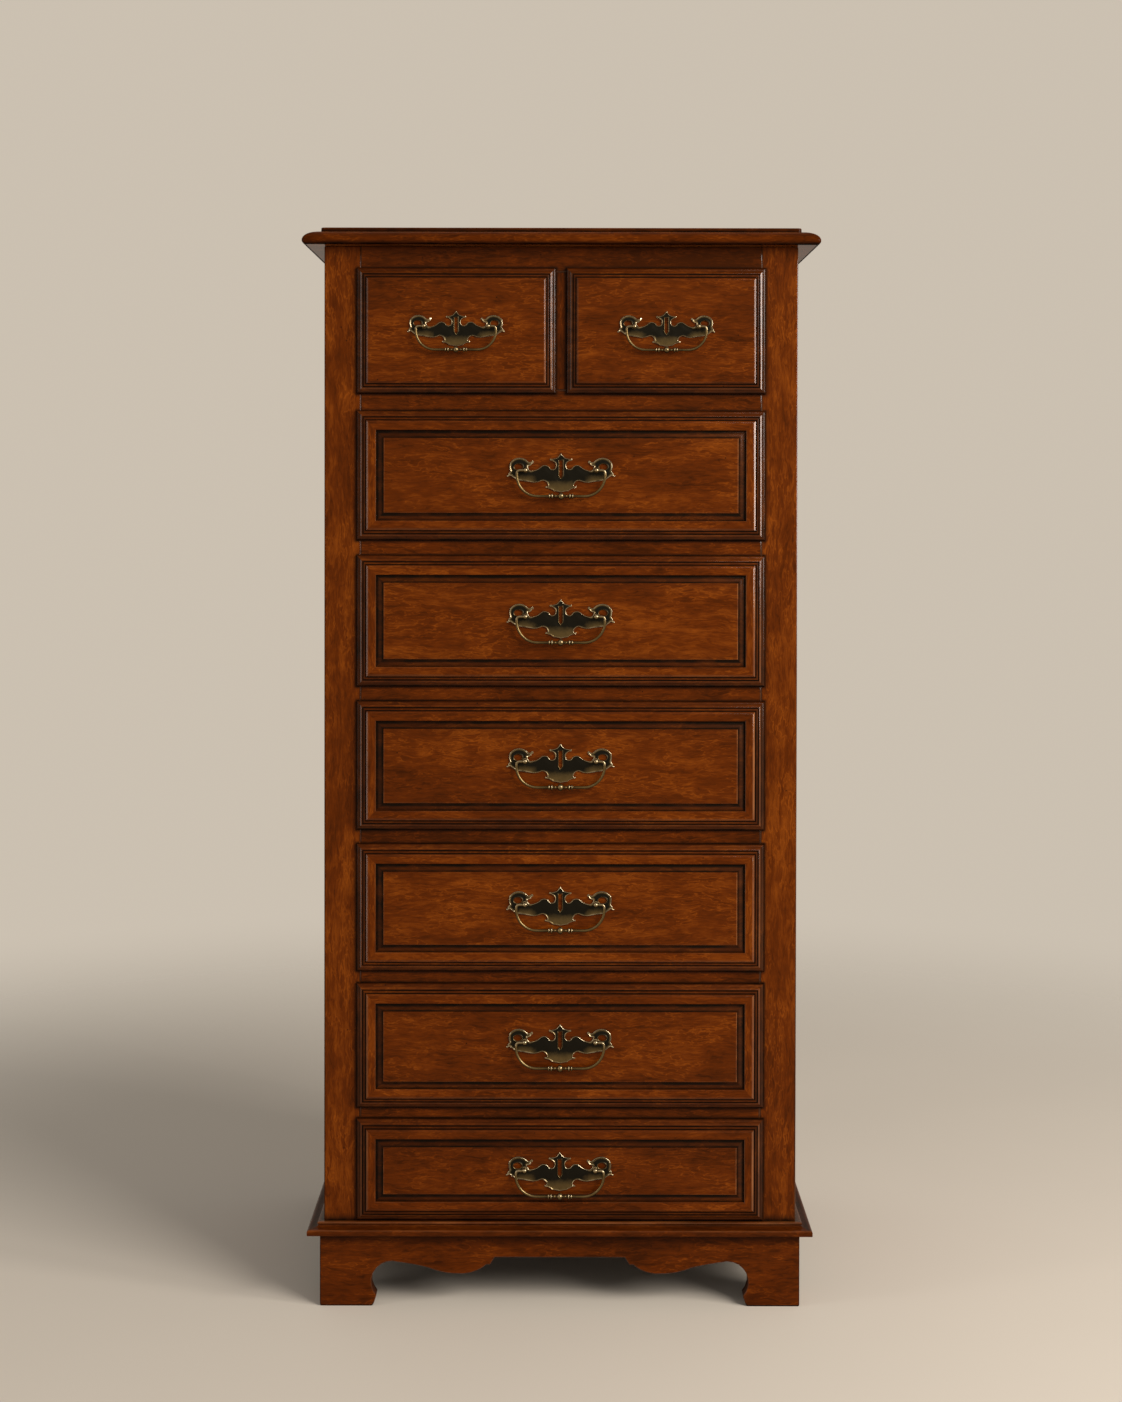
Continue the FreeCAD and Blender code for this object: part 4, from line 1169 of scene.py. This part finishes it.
def geometry_tree(name, sockets):
    """An empty tree of geometry nodes with named inputs, and its two end nodes."""
    tree = bpy.data.node_groups.new(name, "GeometryNodeTree")
    tree.interface.new_socket("Geometry", in_out="INPUT", socket_type="NodeSocketGeometry")
    for label, kind in sockets:
        tree.interface.new_socket(label, in_out="INPUT", socket_type="NodeSocket" + kind)
    tree.interface.new_socket("Geometry", in_out="OUTPUT", socket_type="NodeSocketGeometry")
    return tree, tree.nodes.new("NodeGroupInput"), tree.nodes.new("NodeGroupOutput")


def end_tree(tree, given, out, geometry):
    """Closes a tree with real geometry and its material."""
    real = add_node(tree, "GeometryNodeRealizeInstances", {"Geometry": geometry}).outputs[0]
    links = {"Geometry": real, "Material": given.outputs["Material"]}
    tree.links.new(add_node(tree, "GeometryNodeSetMaterial", links).outputs[0], out.inputs["Geometry"])


def build_fixing_tree():
    """Tree that puts a head with slanted flanks and a straight shank at every point."""
    tree, given, out = geometry_tree("driven fixings", [
        ("Head Sides", "Int"), ("Head Radius", "Float"), ("Head Height", "Float"),
        ("Shank Radius", "Float"), ("Shank Length", "Float"), ("Shank Middle", "Vector"),
        ("Turn", "Vector"), ("Material", "Material")])
    values = given.outputs
    crown = maths(tree, "MULTIPLY", values["Head Radius"], crown_share)
    links = {"Vertices": values["Head Sides"], "Radius Top": crown,
             "Radius Bottom": values["Head Radius"], "Depth": values["Head Height"]}
    head = add_node(tree, "GeometryNodeMeshCone", links).outputs["Mesh"]
    links = {"Vertices": shank_sides, "Radius": values["Shank Radius"], "Depth": values["Shank Length"]}
    shank = add_node(tree, "GeometryNodeMeshCylinder", links).outputs["Mesh"]
    shank = add_node(tree, "GeometryNodeTransform",
                     {"Geometry": shank, "Translation": values["Shank Middle"]}).outputs[0]
    fixing = tree.nodes.new("GeometryNodeJoinGeometry")
    tree.links.new(head, fixing.inputs[0])
    tree.links.new(shank, fixing.inputs[0])
    links = {"Points": values["Geometry"], "Instance": fixing.outputs[0], "Rotation": values["Turn"]}
    end_tree(tree, given, out, add_node(tree, "GeometryNodeInstanceOnPoints", links).outputs[0])
    return tree


fixing_tree = build_fixing_tree()


def grown_mesh(name, points, edges, tree, values, layers=None):
    """Plain mesh that a tree of geometry nodes makes from points and edges."""
    seed = bpy.data.meshes.new(f"{name}_points")
    seed.from_pydata(points, edges, [])
    for label, numbers in (layers or {}).items():
        seed.attributes.new(label, "FLOAT", "POINT").data.foreach_set("value", numbers)
    carrier = bpy.data.objects.new(f"{name}_points", seed)
    bpy.context.scene.collection.objects.link(carrier)
    modifier = carrier.modifiers.new("made", "NODES")
    modifier.node_group = tree
    for socket in tree.interface.items_tree:
        if socket.in_out == "INPUT" and socket.name in values:
            modifier[socket.identifier] = values[socket.name]
    mesh = bpy.data.meshes.new_from_object(carrier.evaluated_get(bpy.context.evaluated_depsgraph_get()))
    mesh.name = name
    carrier.modifiers.remove(modifier)
    bpy.data.objects.remove(carrier)
    return mesh


cleat_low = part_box("top_cleats")[0].z
cleat_size = case_top - cleat_low
cleat_x = inner_half - cleat_size / 2
screw_head = 0.0026
screw_length = 0.03
screw_shares = (0.15, 0.5, 0.85)
screw_level = cleat_low + screw_head
screw_points = [(side * cleat_x, frame_back + (inner_back - frame_back) * share, screw_level)
                for share in screw_shares for side in (-1, 1)]
rear_screw_y = inner_back - cleat_size / 2
screw_points += [(side * half_opening / 2, rear_screw_y, screw_level) for side in (-1, 1)]
screws = grown_mesh("top_screws", screw_points, [], fixing_tree, {
    "Head Sides": 18, "Head Radius": 0.004, "Head Height": screw_head, "Shank Radius": 0.002,
    "Shank Length": screw_length, "Shank Middle": (0.0, 0.0, -screw_length / 2),
    "Turn": (math.pi, 0.0, 0.0), "Material": steel})
show("top_screws", screws, "case", ["case_fasteners"])
nail_inset = 0.0045
nail_spacing = 0.19
nail_length = 0.022
nail_x = inner_half + nail_inset
nail_count = round((case_top - plinth_top) / nail_spacing)
nail_pitch = (case_top - plinth_top) / nail_count
nail_points = [(side * nail_x, back_y, plinth_top + nail_pitch * (step + 0.5))
               for step in range(nail_count) for side in (-1, 1)]
nails = grown_mesh("back_nails", nail_points, [], fixing_tree, {
    "Head Sides": 16, "Head Radius": 0.0024, "Head Height": 0.0008, "Shank Radius": 0.0009,
    "Shank Length": nail_length, "Shank Middle": (0.0, 0.0, -nail_length / 2),
    "Turn": (-math.pi / 2, 0.0, 0.0), "Material": steel})
show("back_nails", nails, "case")

# Pull plates
# Pierced plates of sand-cast brass with a finial between two scrolled heads. They are blackened,
# then polished back along the raised rims; the polish rises towards the lower lobe, and the lower
# wings carry painted highlights.
plate_half_width = 0.065
small_pull_share = 0.905
plate_thickness = 0.0018
plate_field = 0.0011
plate_edge = 0.0008
rim_round = 0.00045
field_crown = 0.0003
plate_steps = 7
eye_sides = 24
edge_pitch = 0.0009
grid_pitch = 0.0011
grid_clear = 0.0016
rim_lines = (0.00028, 0.0006, 0.001, 0.0014)
rim_clear = (0.00026, 0.00056, 0.00094, 0.00132)
brass_angle = 50
plate_start = (0.0, 0.328)
plate_strokes = [
    [(0.026, 0.290), (0.068, 0.242)],
    [(0.120, 0.224), (0.178, 0.217)],
    [(0.207, 0.200), (0.181, 0.183)],
    [(0.138, 0.165), (0.108, 0.138)],
    [(0.096, 0.088), (0.117, 0.035)],
    [(0.161, 0.021), (0.200, 0.037)],
    [(0.291, 0.100), (0.372, 0.074)],
    [(0.461, 0.015), (0.558, -0.005)],
    [(0.600, 0.026), (0.615, 0.078)],
    [(0.561, 0.092), (0.532, 0.132)],
    [(0.509, 0.168), (0.545, 0.178)],
    [(0.575, 0.155), (0.615, 0.168)],
    [(0.794, 0.238), (0.945, 0.152)],
    [(0.961, 0.077), (0.945, -0.012)],
    [(0.967, -0.040), (0.985, -0.090)],
    [(0.998, -0.120), (0.978, -0.115)],
    [(0.958, -0.104), (0.935, -0.100)],
    [(0.905, -0.125), (0.869, -0.148)],
    [(0.848, -0.168), (0.815, -0.183)],
    [(0.662, -0.206), (0.511, -0.229)],
    [(0.431, -0.220), (0.348, -0.191)],
    [(0.278, -0.212), (0.243, -0.269)],
    [(0.245, -0.289), (0.260, -0.295)],
    [(0.286, -0.309), (0.262, -0.328)],
    [(0.200, -0.345), (0.135, -0.388)],
    [(0.069, -0.394), (0.0, -0.412)],
]
eye_place = (0.790, 0.066)
eye_reach = (0.080, 0.056)
slot_outline = [(0.033, 0.185), (0.033, -0.100), (0.0, -0.148), (-0.033, -0.100), (-0.033, 0.185)]
brass_bright = (0.46, 0.385, 0.25, 1)
brass_worn = (0.155, 0.104, 0.041, 1)
brass_black = (0.0115, 0.0095, 0.0055, 1)
cast_scale = (900.0, 900.0, 900.0)
tarnish_scale = (170.0, 170.0, 170.0)
cast_bump = 0.22
cast_bump_height = 0.0002


def antique_brass():
    """Brass blackened in the low places and bright where the piece's own polish and painted highlight are
    high.
    """
    material = bpy.data.materials.new("antique_brass")
    material.use_nodes = True
    tree = material.node_tree
    shader = tree.nodes["Principled BSDF"]
    place = add_node(tree, "TexCoord").outputs["Object"]
    polish_and_highlight = add_node(tree, "Attribute", attribute_name="polish_and_highlight").outputs["Fac"]
    cast = stretched_noise(tree, place, cast_scale, 3.0, 0.6)
    patch = stretched_noise(tree, place, tarnish_scale, 3.0, 0.6)
    rubbing_and_highlight = weighted(tree, polish_and_highlight, [(patch, 0.25), (cast, 0.16)])
    colour = colour_ramp(tree, rubbing_and_highlight, [(0.05, brass_black), (0.5, brass_worn), (0.95, brass_bright)])
    tree.links.new(colour, shader.inputs["Base Color"])
    tree.links.new(ranged(tree, rubbing_and_highlight, 0.0, 0.5, 0.9, 1.0), shader.inputs["Metallic"])
    tree.links.new(ranged(tree, rubbing_and_highlight, 0.1, 0.9, 0.42, 0.18), shader.inputs["Roughness"])
    links = {"Strength": cast_bump, "Distance": cast_bump_height, "Height": cast}
    tree.links.new(add_node(tree, "Bump", links).outputs["Normal"], shader.inputs["Normal"])
    return material


brass = antique_brass()


def smooth_share(low, high, value):
    """Share of the way from low to high, eased at both ends."""
    share = numpy.clip((value - low) / (high - low), 0.0, 1.0)
    return share * share * (3 - 2 * share)


def outline_distance(places, loops):
    """Distance of each place from the nearest edge of any loop."""
    nearest = numpy.full(len(places), 1.0)
    for loop in loops:
        starts = numpy.array(loop)
        steps = numpy.roll(starts, -1, axis=0) - starts
        lengths = numpy.maximum((steps ** 2).sum(axis=1), 1e-14)
        away = places[:, None, :] - starts[None, :, :]
        share = numpy.clip((away * steps).sum(axis=2) / lengths, 0.0, 1.0)
        gaps = numpy.linalg.norm(away - share[:, :, None] * steps, axis=2)
        nearest = numpy.minimum(nearest, gaps.min(axis=1))
    return nearest


def inside_loop(places, loop):
    """Which places lie inside a closed loop."""
    within = numpy.zeros(len(places), dtype=bool)
    for (ax, ay), (bx, by) in zip(loop, loop[1:] + loop[:1]):
        if ay == by:
            continue
        crosses = (ay > places[:, 1]) != (by > places[:, 1])
        within ^= crosses & (places[:, 0] < ax + (places[:, 1] - ay) * (bx - ax) / (by - ay))
    return within


def triangles(places, loops):
    """Triangles over the plate between its outline and its piercings."""
    edges = []
    start = 0
    for loop in loops:
        edges += [(start + k, start + (k + 1) % len(loop)) for k in range(len(loop))]
        start += len(loop)
    found = delaunay_2d_cdt([Vector(place) for place in places], edges, [], 0, 1e-9)
    kept = numpy.array([tuple(place) for place in found[0]])
    corners = numpy.array(found[2])
    middles = kept[corners].mean(axis=1)
    within = inside_loop(middles, loops[0])
    for hole in loops[1:]:
        within &= ~inside_loop(middles, hole)
    return kept, corners[within]


def dense_loop(loop, pitch):
    """The same loop with points no further apart than a pitch."""
    dense = []
    for a, b in zip(loop, loop[1:] + loop[:1]):
        count = max(1, math.ceil(math.dist(a, b) / pitch))
        dense += [(a[0] + (b[0] - a[0]) * k / count, a[1] + (b[1] - a[1]) * k / count)
                  for k in range(count)]
    return dense


def plate_shape(scale):
    """Points, faces, and polish with painted highlight, of a plate around the middle of its post line,
    with its back at zero.
    """
    unit = plate_half_width * scale
    half = stroke_points(plate_start, plate_strokes, (unit, unit), plate_steps)
    outline = half + [(-x, z) for x, z in reversed(half[1:-1])]
    turns = [math.radians(360 / eye_sides * step) for step in range(eye_sides)]
    loops = [outline, [(unit * x, unit * z) for x, z in slot_outline]]
    for side in (-1, 1):
        loops.append([(side * unit * (eye_place[0] + eye_reach[0] * math.cos(turn)),
                       unit * (eye_place[1] + eye_reach[1] * math.sin(turn))) for turn in turns])
    loops = [dense_loop(loop, edge_pitch) for loop in loops]
    border = [point for loop in loops for point in loop]
    grid = numpy.arange(-unit, unit, grid_pitch)
    rows = grid[abs(grid) < 0.5 * unit]
    inner = [(x, z) for x in grid for z in rows]
    for loop in loops:
        for a, b in zip(loop, loop[1:] + loop[:1]):
            step = Vector((b[0] - a[0], b[1] - a[1])).normalized()
            for offset in rim_lines:
                for side in (-1, 1):
                    inner.append((a[0] - side * step.y * offset, a[1] + side * step.x * offset))
    inner = numpy.array(inner)
    gaps = outline_distance(inner, loops)
    near = numpy.concatenate([numpy.full(len(grid) * len(rows), grid_clear),
                              numpy.tile(numpy.repeat(rim_clear, 2), len(border))])
    inner = inner[gaps >= near]
    places, front = triangles(border + [tuple(place) for place in inner], loops)
    gaps = outline_distance(places, loops)
    rounded = numpy.sin(numpy.clip(gaps / rim_round, 0, 1) * math.pi / 2)
    rise = plate_edge + (plate_thickness - plate_edge) * rounded
    rise = rise - (plate_thickness - plate_field) * smooth_share(0.0006, 0.0014, gaps)
    rise = rise + field_crown * smooth_share(0.002, 0.007, gaps)
    across, level = abs(places[:, 0]) / unit, places[:, 1] / unit
    broad = 0.0018 * smooth_share(0.48, 0.6, across)
    rims = 0.84 - 0.86 * smooth_share(0.0006, 0.0013 + broad, outline_distance(places, loops[:1]))
    pierced = 0.62 - 0.64 * smooth_share(0.0003, 0.0009, gaps)
    # Polish rises towards the lower lobe; the lower wings carry painted highlights.
    lobe = 0.48 * smooth_share(-0.13, -0.35, level) - 0.02
    wing_highlight = smooth_share(0.36, 0.62, across) * smooth_share(0.92, 0.8, across)
    wing_highlight = 0.5 * wing_highlight * smooth_share(-0.03, -0.22, level) - 0.02
    polish_and_highlight = numpy.maximum.reduce([rims, pierced, lobe, wing_highlight])
    flat_places, flat = triangles(border, loops)
    points = [(x, -up, z) for (x, z), up in zip(places, rise)] + [(x, 0.0, z) for x, z in flat_places]
    start = len(places)
    faces = [tuple(face) for face in front] + [tuple(start + corner for corner in face) for face in flat]
    first = 0
    for loop in loops:
        for k in range(len(loop)):
            a, b = first + k, first + (k + 1) % len(loop)
            faces.append((a, b, start + b, start + a))
        first += len(loop)
    return points, faces, list(polish_and_highlight) + [0.5] * len(flat_places)


def pull_scale(number):
    """Size of a drawer's pull against the wide ones."""
    return small_pull_share if number in small_drawers else 1.0


plate_shapes = {scale: plate_shape(scale) for scale in (small_pull_share, 1.0)}
pivots = {}
for joint in frame["joints"]:
    if joint["name"].startswith("bail_"):
        pivots[int(joint["name"].split("_")[1])] = Vector(joint["pos_m"])
for number in drawer_numbers:
    points, faces, polish_and_highlight = plate_shapes[pull_scale(number)]
    seat = Vector((pivots[number].x, lips[number][0].y, pivots[number].z))
    mesh = bpy.data.meshes.new(f"pull_{number}_plate")
    mesh.from_pydata([seat + Vector(point) for point in points], [], faces)
    mesh.attributes.new("polish_and_highlight", "FLOAT", "POINT").data.foreach_set("value", polish_and_highlight)
    mesh.materials.append(brass)
    show(f"pull_{number}_plate", mesh, f"drawer_{number}", [f"pull_{number}"],
         brass_angle)

# Posts and nuts
# Turned brass posts with a collar and a ball head go through plate and front. A hexagonal nut inside
# the drawer draws each one tight.
post_half_spacing = 0.043
post_profile = [(0.0, 0.0019), (0.0002, 0.0035), (0.0007, 0.0036), (0.0011, 0.0033), (0.0013, 0.0024),
                (0.0019, 0.0022)]
post_sides = 20
post_polish = 0.6
ball_radius = 0.0032
ball_start = 0.22
ball_steps = 12
ball_close = 12.5
ball_polish = 0.68
# Way the painted highlight faces, to the front and up; rods are painted darker facing away.
lit_facing_way = (0.0, -0.75, 0.66)


def build_rod_tree():
    """Tree that skins a rod along a line, as thick as its girth, with painted highlight on its front and
    upper side and painted shade away from them.
    """
    tree, given, out = geometry_tree("turned rod", [("Sides", "Int"), ("Material", "Material")])
    line = add_node(tree, "GeometryNodeMeshToCurve", {"Mesh": given.outputs["Geometry"]}).outputs[0]
    ring = add_node(tree, "GeometryNodeCurvePrimitiveCircle",
                    {"Resolution": given.outputs["Sides"], "Radius": 1.0}).outputs["Curve"]
    girth = add_node(tree, "GeometryNodeInputNamedAttribute", {"Name": "girth"}, data_type="FLOAT")
    links = {"Curve": line, "Profile Curve": ring, "Scale": girth.outputs["Attribute"], "Fill Caps": True}
    rod = add_node(tree, "GeometryNodeCurveToMesh", links).outputs[0]
    # Painted highlight on the front and upper side of each rod, painted shade below.
    normal = add_node(tree, "GeometryNodeInputNormal").outputs[0]
    facing = add_node(tree, "VectorMath", {0: normal, 1: lit_facing_way}, operation="DOT_PRODUCT")
    rubbing_and_highlight = ranged(tree, facing.outputs["Value"], 0.0, 0.9, 0.3, 1.15)
    polish_and_highlight = add_node(tree, "GeometryNodeInputNamedAttribute", {"Name": "polish_and_highlight"}, data_type="FLOAT")
    shine = maths(tree, "MULTIPLY", polish_and_highlight.outputs["Attribute"], rubbing_and_highlight)
    links = {"Geometry": rod, "Name": "polish_and_highlight", "Value": shine}
    rod = add_node(tree, "GeometryNodeStoreNamedAttribute", links, data_type="FLOAT", domain="POINT")
    end_tree(tree, given, out, rod.outputs[0])
    return tree


rod_tree = build_rod_tree()


def rod_mesh(name, rods, sides):
    """Mesh of rods, each a list of (place, girth, polish)."""
    points, edges, girths, polish_and_highlight = [], [], [], []
    for rod in rods:
        start = len(points)
        points += [place for place, _, _ in rod]
        girths += [girth for _, girth, _ in rod]
        polish_and_highlight += [shine for _, _, shine in rod]
        edges += [(start + k, start + k + 1) for k in range(len(rod) - 1)]
    return grown_mesh(name, points, edges, rod_tree, {"Sides": sides, "Material": brass},
                      {"girth": girths, "polish_and_highlight": polish_and_highlight})


for number in drawer_numbers:
    scale = pull_scale(number)
    pivot = pivots[number]
    plate_front = lips[number][0].y - plate_field
    rods = []
    nut_points = []
    for side in (-1, 1):
        x = pivot.x + side * post_half_spacing * scale
        rod = [((x, plate_front - out, pivot.z), girth * scale, post_polish)
               for out, girth in post_profile]
        for step in range(1, ball_steps + 1):
            turn = math.pi * (ball_start + (1 - ball_start) * step / ball_close)
            rod.append(((x, pivot.y + ball_radius * scale * math.cos(turn), pivot.z),
                        ball_radius * scale * math.sin(turn), ball_polish))
        rods.append(rod)
        nut_points.append((x, lips[number][1].y, pivot.z))
    posts = rod_mesh(f"pull_{number}_posts", rods, post_sides)
    show(f"pull_{number}_posts", posts, f"drawer_{number}")
    nuts = grown_mesh(f"pull_{number}_nuts", nut_points, [], fixing_tree, {
        "Head Sides": 6, "Head Radius": 0.004, "Head Height": 0.0032, "Shank Radius": 0.0019,
        "Shank Length": 0.0052, "Shank Middle": (0.0, 0.0, 0.0026), "Turn": (-math.pi / 2, 0.0, 0.0),
        "Material": brass})
    show(f"pull_{number}_nuts", nuts, f"drawer_{number}")

# Bails
# Each bail is a brass rod bent to a flat loop that pivots in the post heads. Its middle is turned to
# a flattened ball between small beads and rings, the blackening is rubbed back most on the beads, the
# bends and the ends, and the rod carries painted highlight on its front and upper side and painted
# shade below.
bail_half_width = 0.0534
bail_drop = 0.0313
bail_wire = 0.0017
bail_turn = 0.0035
bail_corner = 0.025
bail_sides = 14
turned_step = 0.00028
turned_steps = 58
pivot_gap = 0.0003
plain_polish = 0.24
bend_polish = 0.46
pivot_polish = 0.65
bail_beads = [(0.0, 0.0039, 0.0043, 0.56), (0.0065, 0.0013, 0.0021, 0.4), (0.0106, 0.0017, 0.0037, 0.68),
              (0.01385, 0.0015, 0.0034, 0.64)]


def turned_rod(x):
    """Thickness of the rod and its polish at a place along its turned middle."""
    girth, polish_and_highlight = bail_wire, plain_polish
    for place, half_width, radius, bead_polish in bail_beads:
        share = (abs(x) - place) / half_width
        if abs(share) < 1 and radius * math.sqrt(1 - share * share) > girth:
            girth, polish_and_highlight = radius * math.sqrt(1 - share * share), bead_polish
    return girth, polish_and_highlight


def bail_path():
    """Right half of the rod from the middle to its end in the post: place, girth and polish."""
    steps = [turned_step * k for k in range(turned_steps)]
    path = [((x, -bail_drop), *turned_rod(x)) for x in steps]
    middle = (bail_half_width - bail_corner, bail_corner - bail_drop)
    bends = [((middle[0] + bail_corner * math.sin(turn), middle[1] - bail_corner * math.cos(turn)),
              bail_wire, bend_polish) for turn in arc_turns(14)]
    top = (bail_half_width - bail_turn, -bail_turn)
    bends += [((top[0] + bail_turn * math.cos(turn), top[1] + bail_turn * math.sin(turn)),
               bail_wire, pivot_polish) for turn in arc_turns(6)]
    return path + bends + [((post_half_spacing + pivot_gap, 0.0), bail_wire, pivot_polish)]


half_bail = bail_path()
whole_bail = [((-x, z), girth, shine) for (x, z), girth, shine in reversed(half_bail[1:])] + half_bail
for number in drawer_numbers:
    scale = pull_scale(number)
    pivot = pivots[number]
    rod = [((pivot.x + x * scale, pivot.y, pivot.z + z * scale), girth * scale, shine)
           for (x, z), girth, shine in whole_bail]
    bail = rod_mesh(f"bail_{number}_rod", [rod], bail_sides)
    show(f"bail_{number}_rod", bail, f"bail_{number}", [f"bail_{number}"], brass_angle)

# Studio
# A plain pale floor and background, one broad soft light over the front right, a tall soft panel at
# each side, and a camera at the height of the middle drawers.
floor_colour = (0.66, 0.585, 0.49, 1)
floor_mottle_scale = (2.5, 2.5, 2.5)
floor_mottle_gain = 1.05
floor_roughness = 0.85
floor_specular = 0.1
floor_reach = 9.0
fade_start = 0.9
fade_end = 2.4
background_colour = (0.60, 0.53, 0.44, 1)
fill_colour = (1.0, 0.985, 0.965, 1)
fill_strength = 0.34
lamp_colour = (1.0, 0.965, 0.92)
lens_length = 56.95
lens_sensor = 36
lens_shift = -0.1284
camera_place = (0.0, -2.9025, 0.9967)
camera_tilt = 89.2
camera_roll = -0.1


def studio_floor():
    """A wide pale floor with a faint mottle, which fades into the background far from the object."""
    mesh = bpy.data.meshes.new("studio_floor")
    corners = [(-floor_reach, -floor_reach, 0), (floor_reach, -floor_reach, 0),
               (floor_reach, floor_reach, 0), (-floor_reach, floor_reach, 0)]
    mesh.from_pydata(corners, [], [(0, 1, 2, 3)])
    material = bpy.data.materials.new("studio_floor")
    material.use_nodes = True
    tree = material.node_tree
    shader = tree.nodes["Principled BSDF"]
    place = add_node(tree, "TexCoord").outputs["Object"]
    mottle = stretched_noise(tree, place, floor_mottle_scale, 3.0, 0.5)
    paler = tuple(min(1.0, floor_mottle_gain * value) for value in floor_colour[:3]) + (1,)
    tree.links.new(mixed(tree, mottle, floor_colour, paler), shader.inputs["Base Color"])
    shader.inputs["Roughness"].default_value = floor_roughness
    shader.inputs["Specular IOR Level"].default_value = floor_specular
    span = add_node(tree, "VectorMath", {0: place}, operation="LENGTH").outputs["Value"]
    far = add_node(tree, "MapRange", {"Value": span, "From Min": fade_start, "From Max": fade_end},
                   interpolation_type="SMOOTHSTEP").outputs[0]
    clear = add_node(tree, "BsdfTransparent")
    faded = add_node(tree, "MixShader", {0: far, 1: shader.outputs[0], 2: clear.outputs[0]})
    tree.links.new(faded.outputs[0], tree.nodes["Material Output"].inputs["Surface"])
    mesh.materials.append(material)
    floor = bpy.data.objects.new("studio_floor", mesh)
    bpy.context.scene.collection.objects.link(floor)


def studio_world():
    """Soft fill for the object, and a pale background for the camera and for reflections."""
    world = bpy.data.worlds.new("studio")
    world.use_nodes = True
    tree = world.node_tree
    fill = tree.nodes["Background"]
    fill.inputs["Color"].default_value = fill_colour
    fill.inputs["Strength"].default_value = fill_strength
    pale = add_node(tree, "Background", {"Color": background_colour, "Strength": 1.0})
    path = add_node(tree, "LightPath")
    seen = maths(tree, "MAXIMUM", path.outputs["Is Camera Ray"], path.outputs["Is Glossy Ray"])
    seen = maths(tree, "MAXIMUM", seen, path.outputs["Is Transmission Ray"])
    links = {0: seen, 1: fill.outputs[0], 2: pale.outputs[0]}
    mix = add_node(tree, "MixShader", links)
    tree.links.new(mix.outputs[0], tree.nodes["World Output"].inputs["Surface"])
    bpy.context.scene.world = world


def soft_light(name, place, aim, size, power):
    """A rectangular soft light aimed at a point."""
    lamp = bpy.data.lights.new(name, "AREA")
    lamp.shape = "RECTANGLE"
    lamp.size, lamp.size_y = size
    lamp.energy = power
    lamp.color = lamp_colour
    holder = bpy.data.objects.new(name, lamp)
    holder.location = place
    holder.rotation_euler = (Vector(aim) - Vector(place)).to_track_quat("-Z", "Y").to_euler()
    bpy.context.scene.collection.objects.link(holder)


studio_floor()
studio_world()
soft_light("key_light", place=(2.9, -3.0, 2.6), aim=(0.0, -0.2, 0.7), size=(2.0, 2.0), power=166)
soft_light("right_panel", place=(2.3, -1.1, 1.5), aim=(0.0, -0.2, 1.2), size=(0.45, 1.3), power=27)
soft_light("left_panel", place=(-2.3, -1.1, 1.0), aim=(0.0, -0.2, 0.75), size=(0.45, 2.2), power=9)
lens = bpy.data.cameras.new("camera")
lens.lens = lens_length
lens.sensor_width = lens_sensor
lens.shift_y = lens_shift
camera = bpy.data.objects.new("camera", lens)
camera.location = camera_place
camera.rotation_euler = (math.radians(camera_tilt), math.radians(camera_roll), 0.0)
bpy.context.scene.collection.objects.link(camera)
bpy.context.scene.camera = camera
bpy.context.scene.view_settings.view_transform = "Standard"
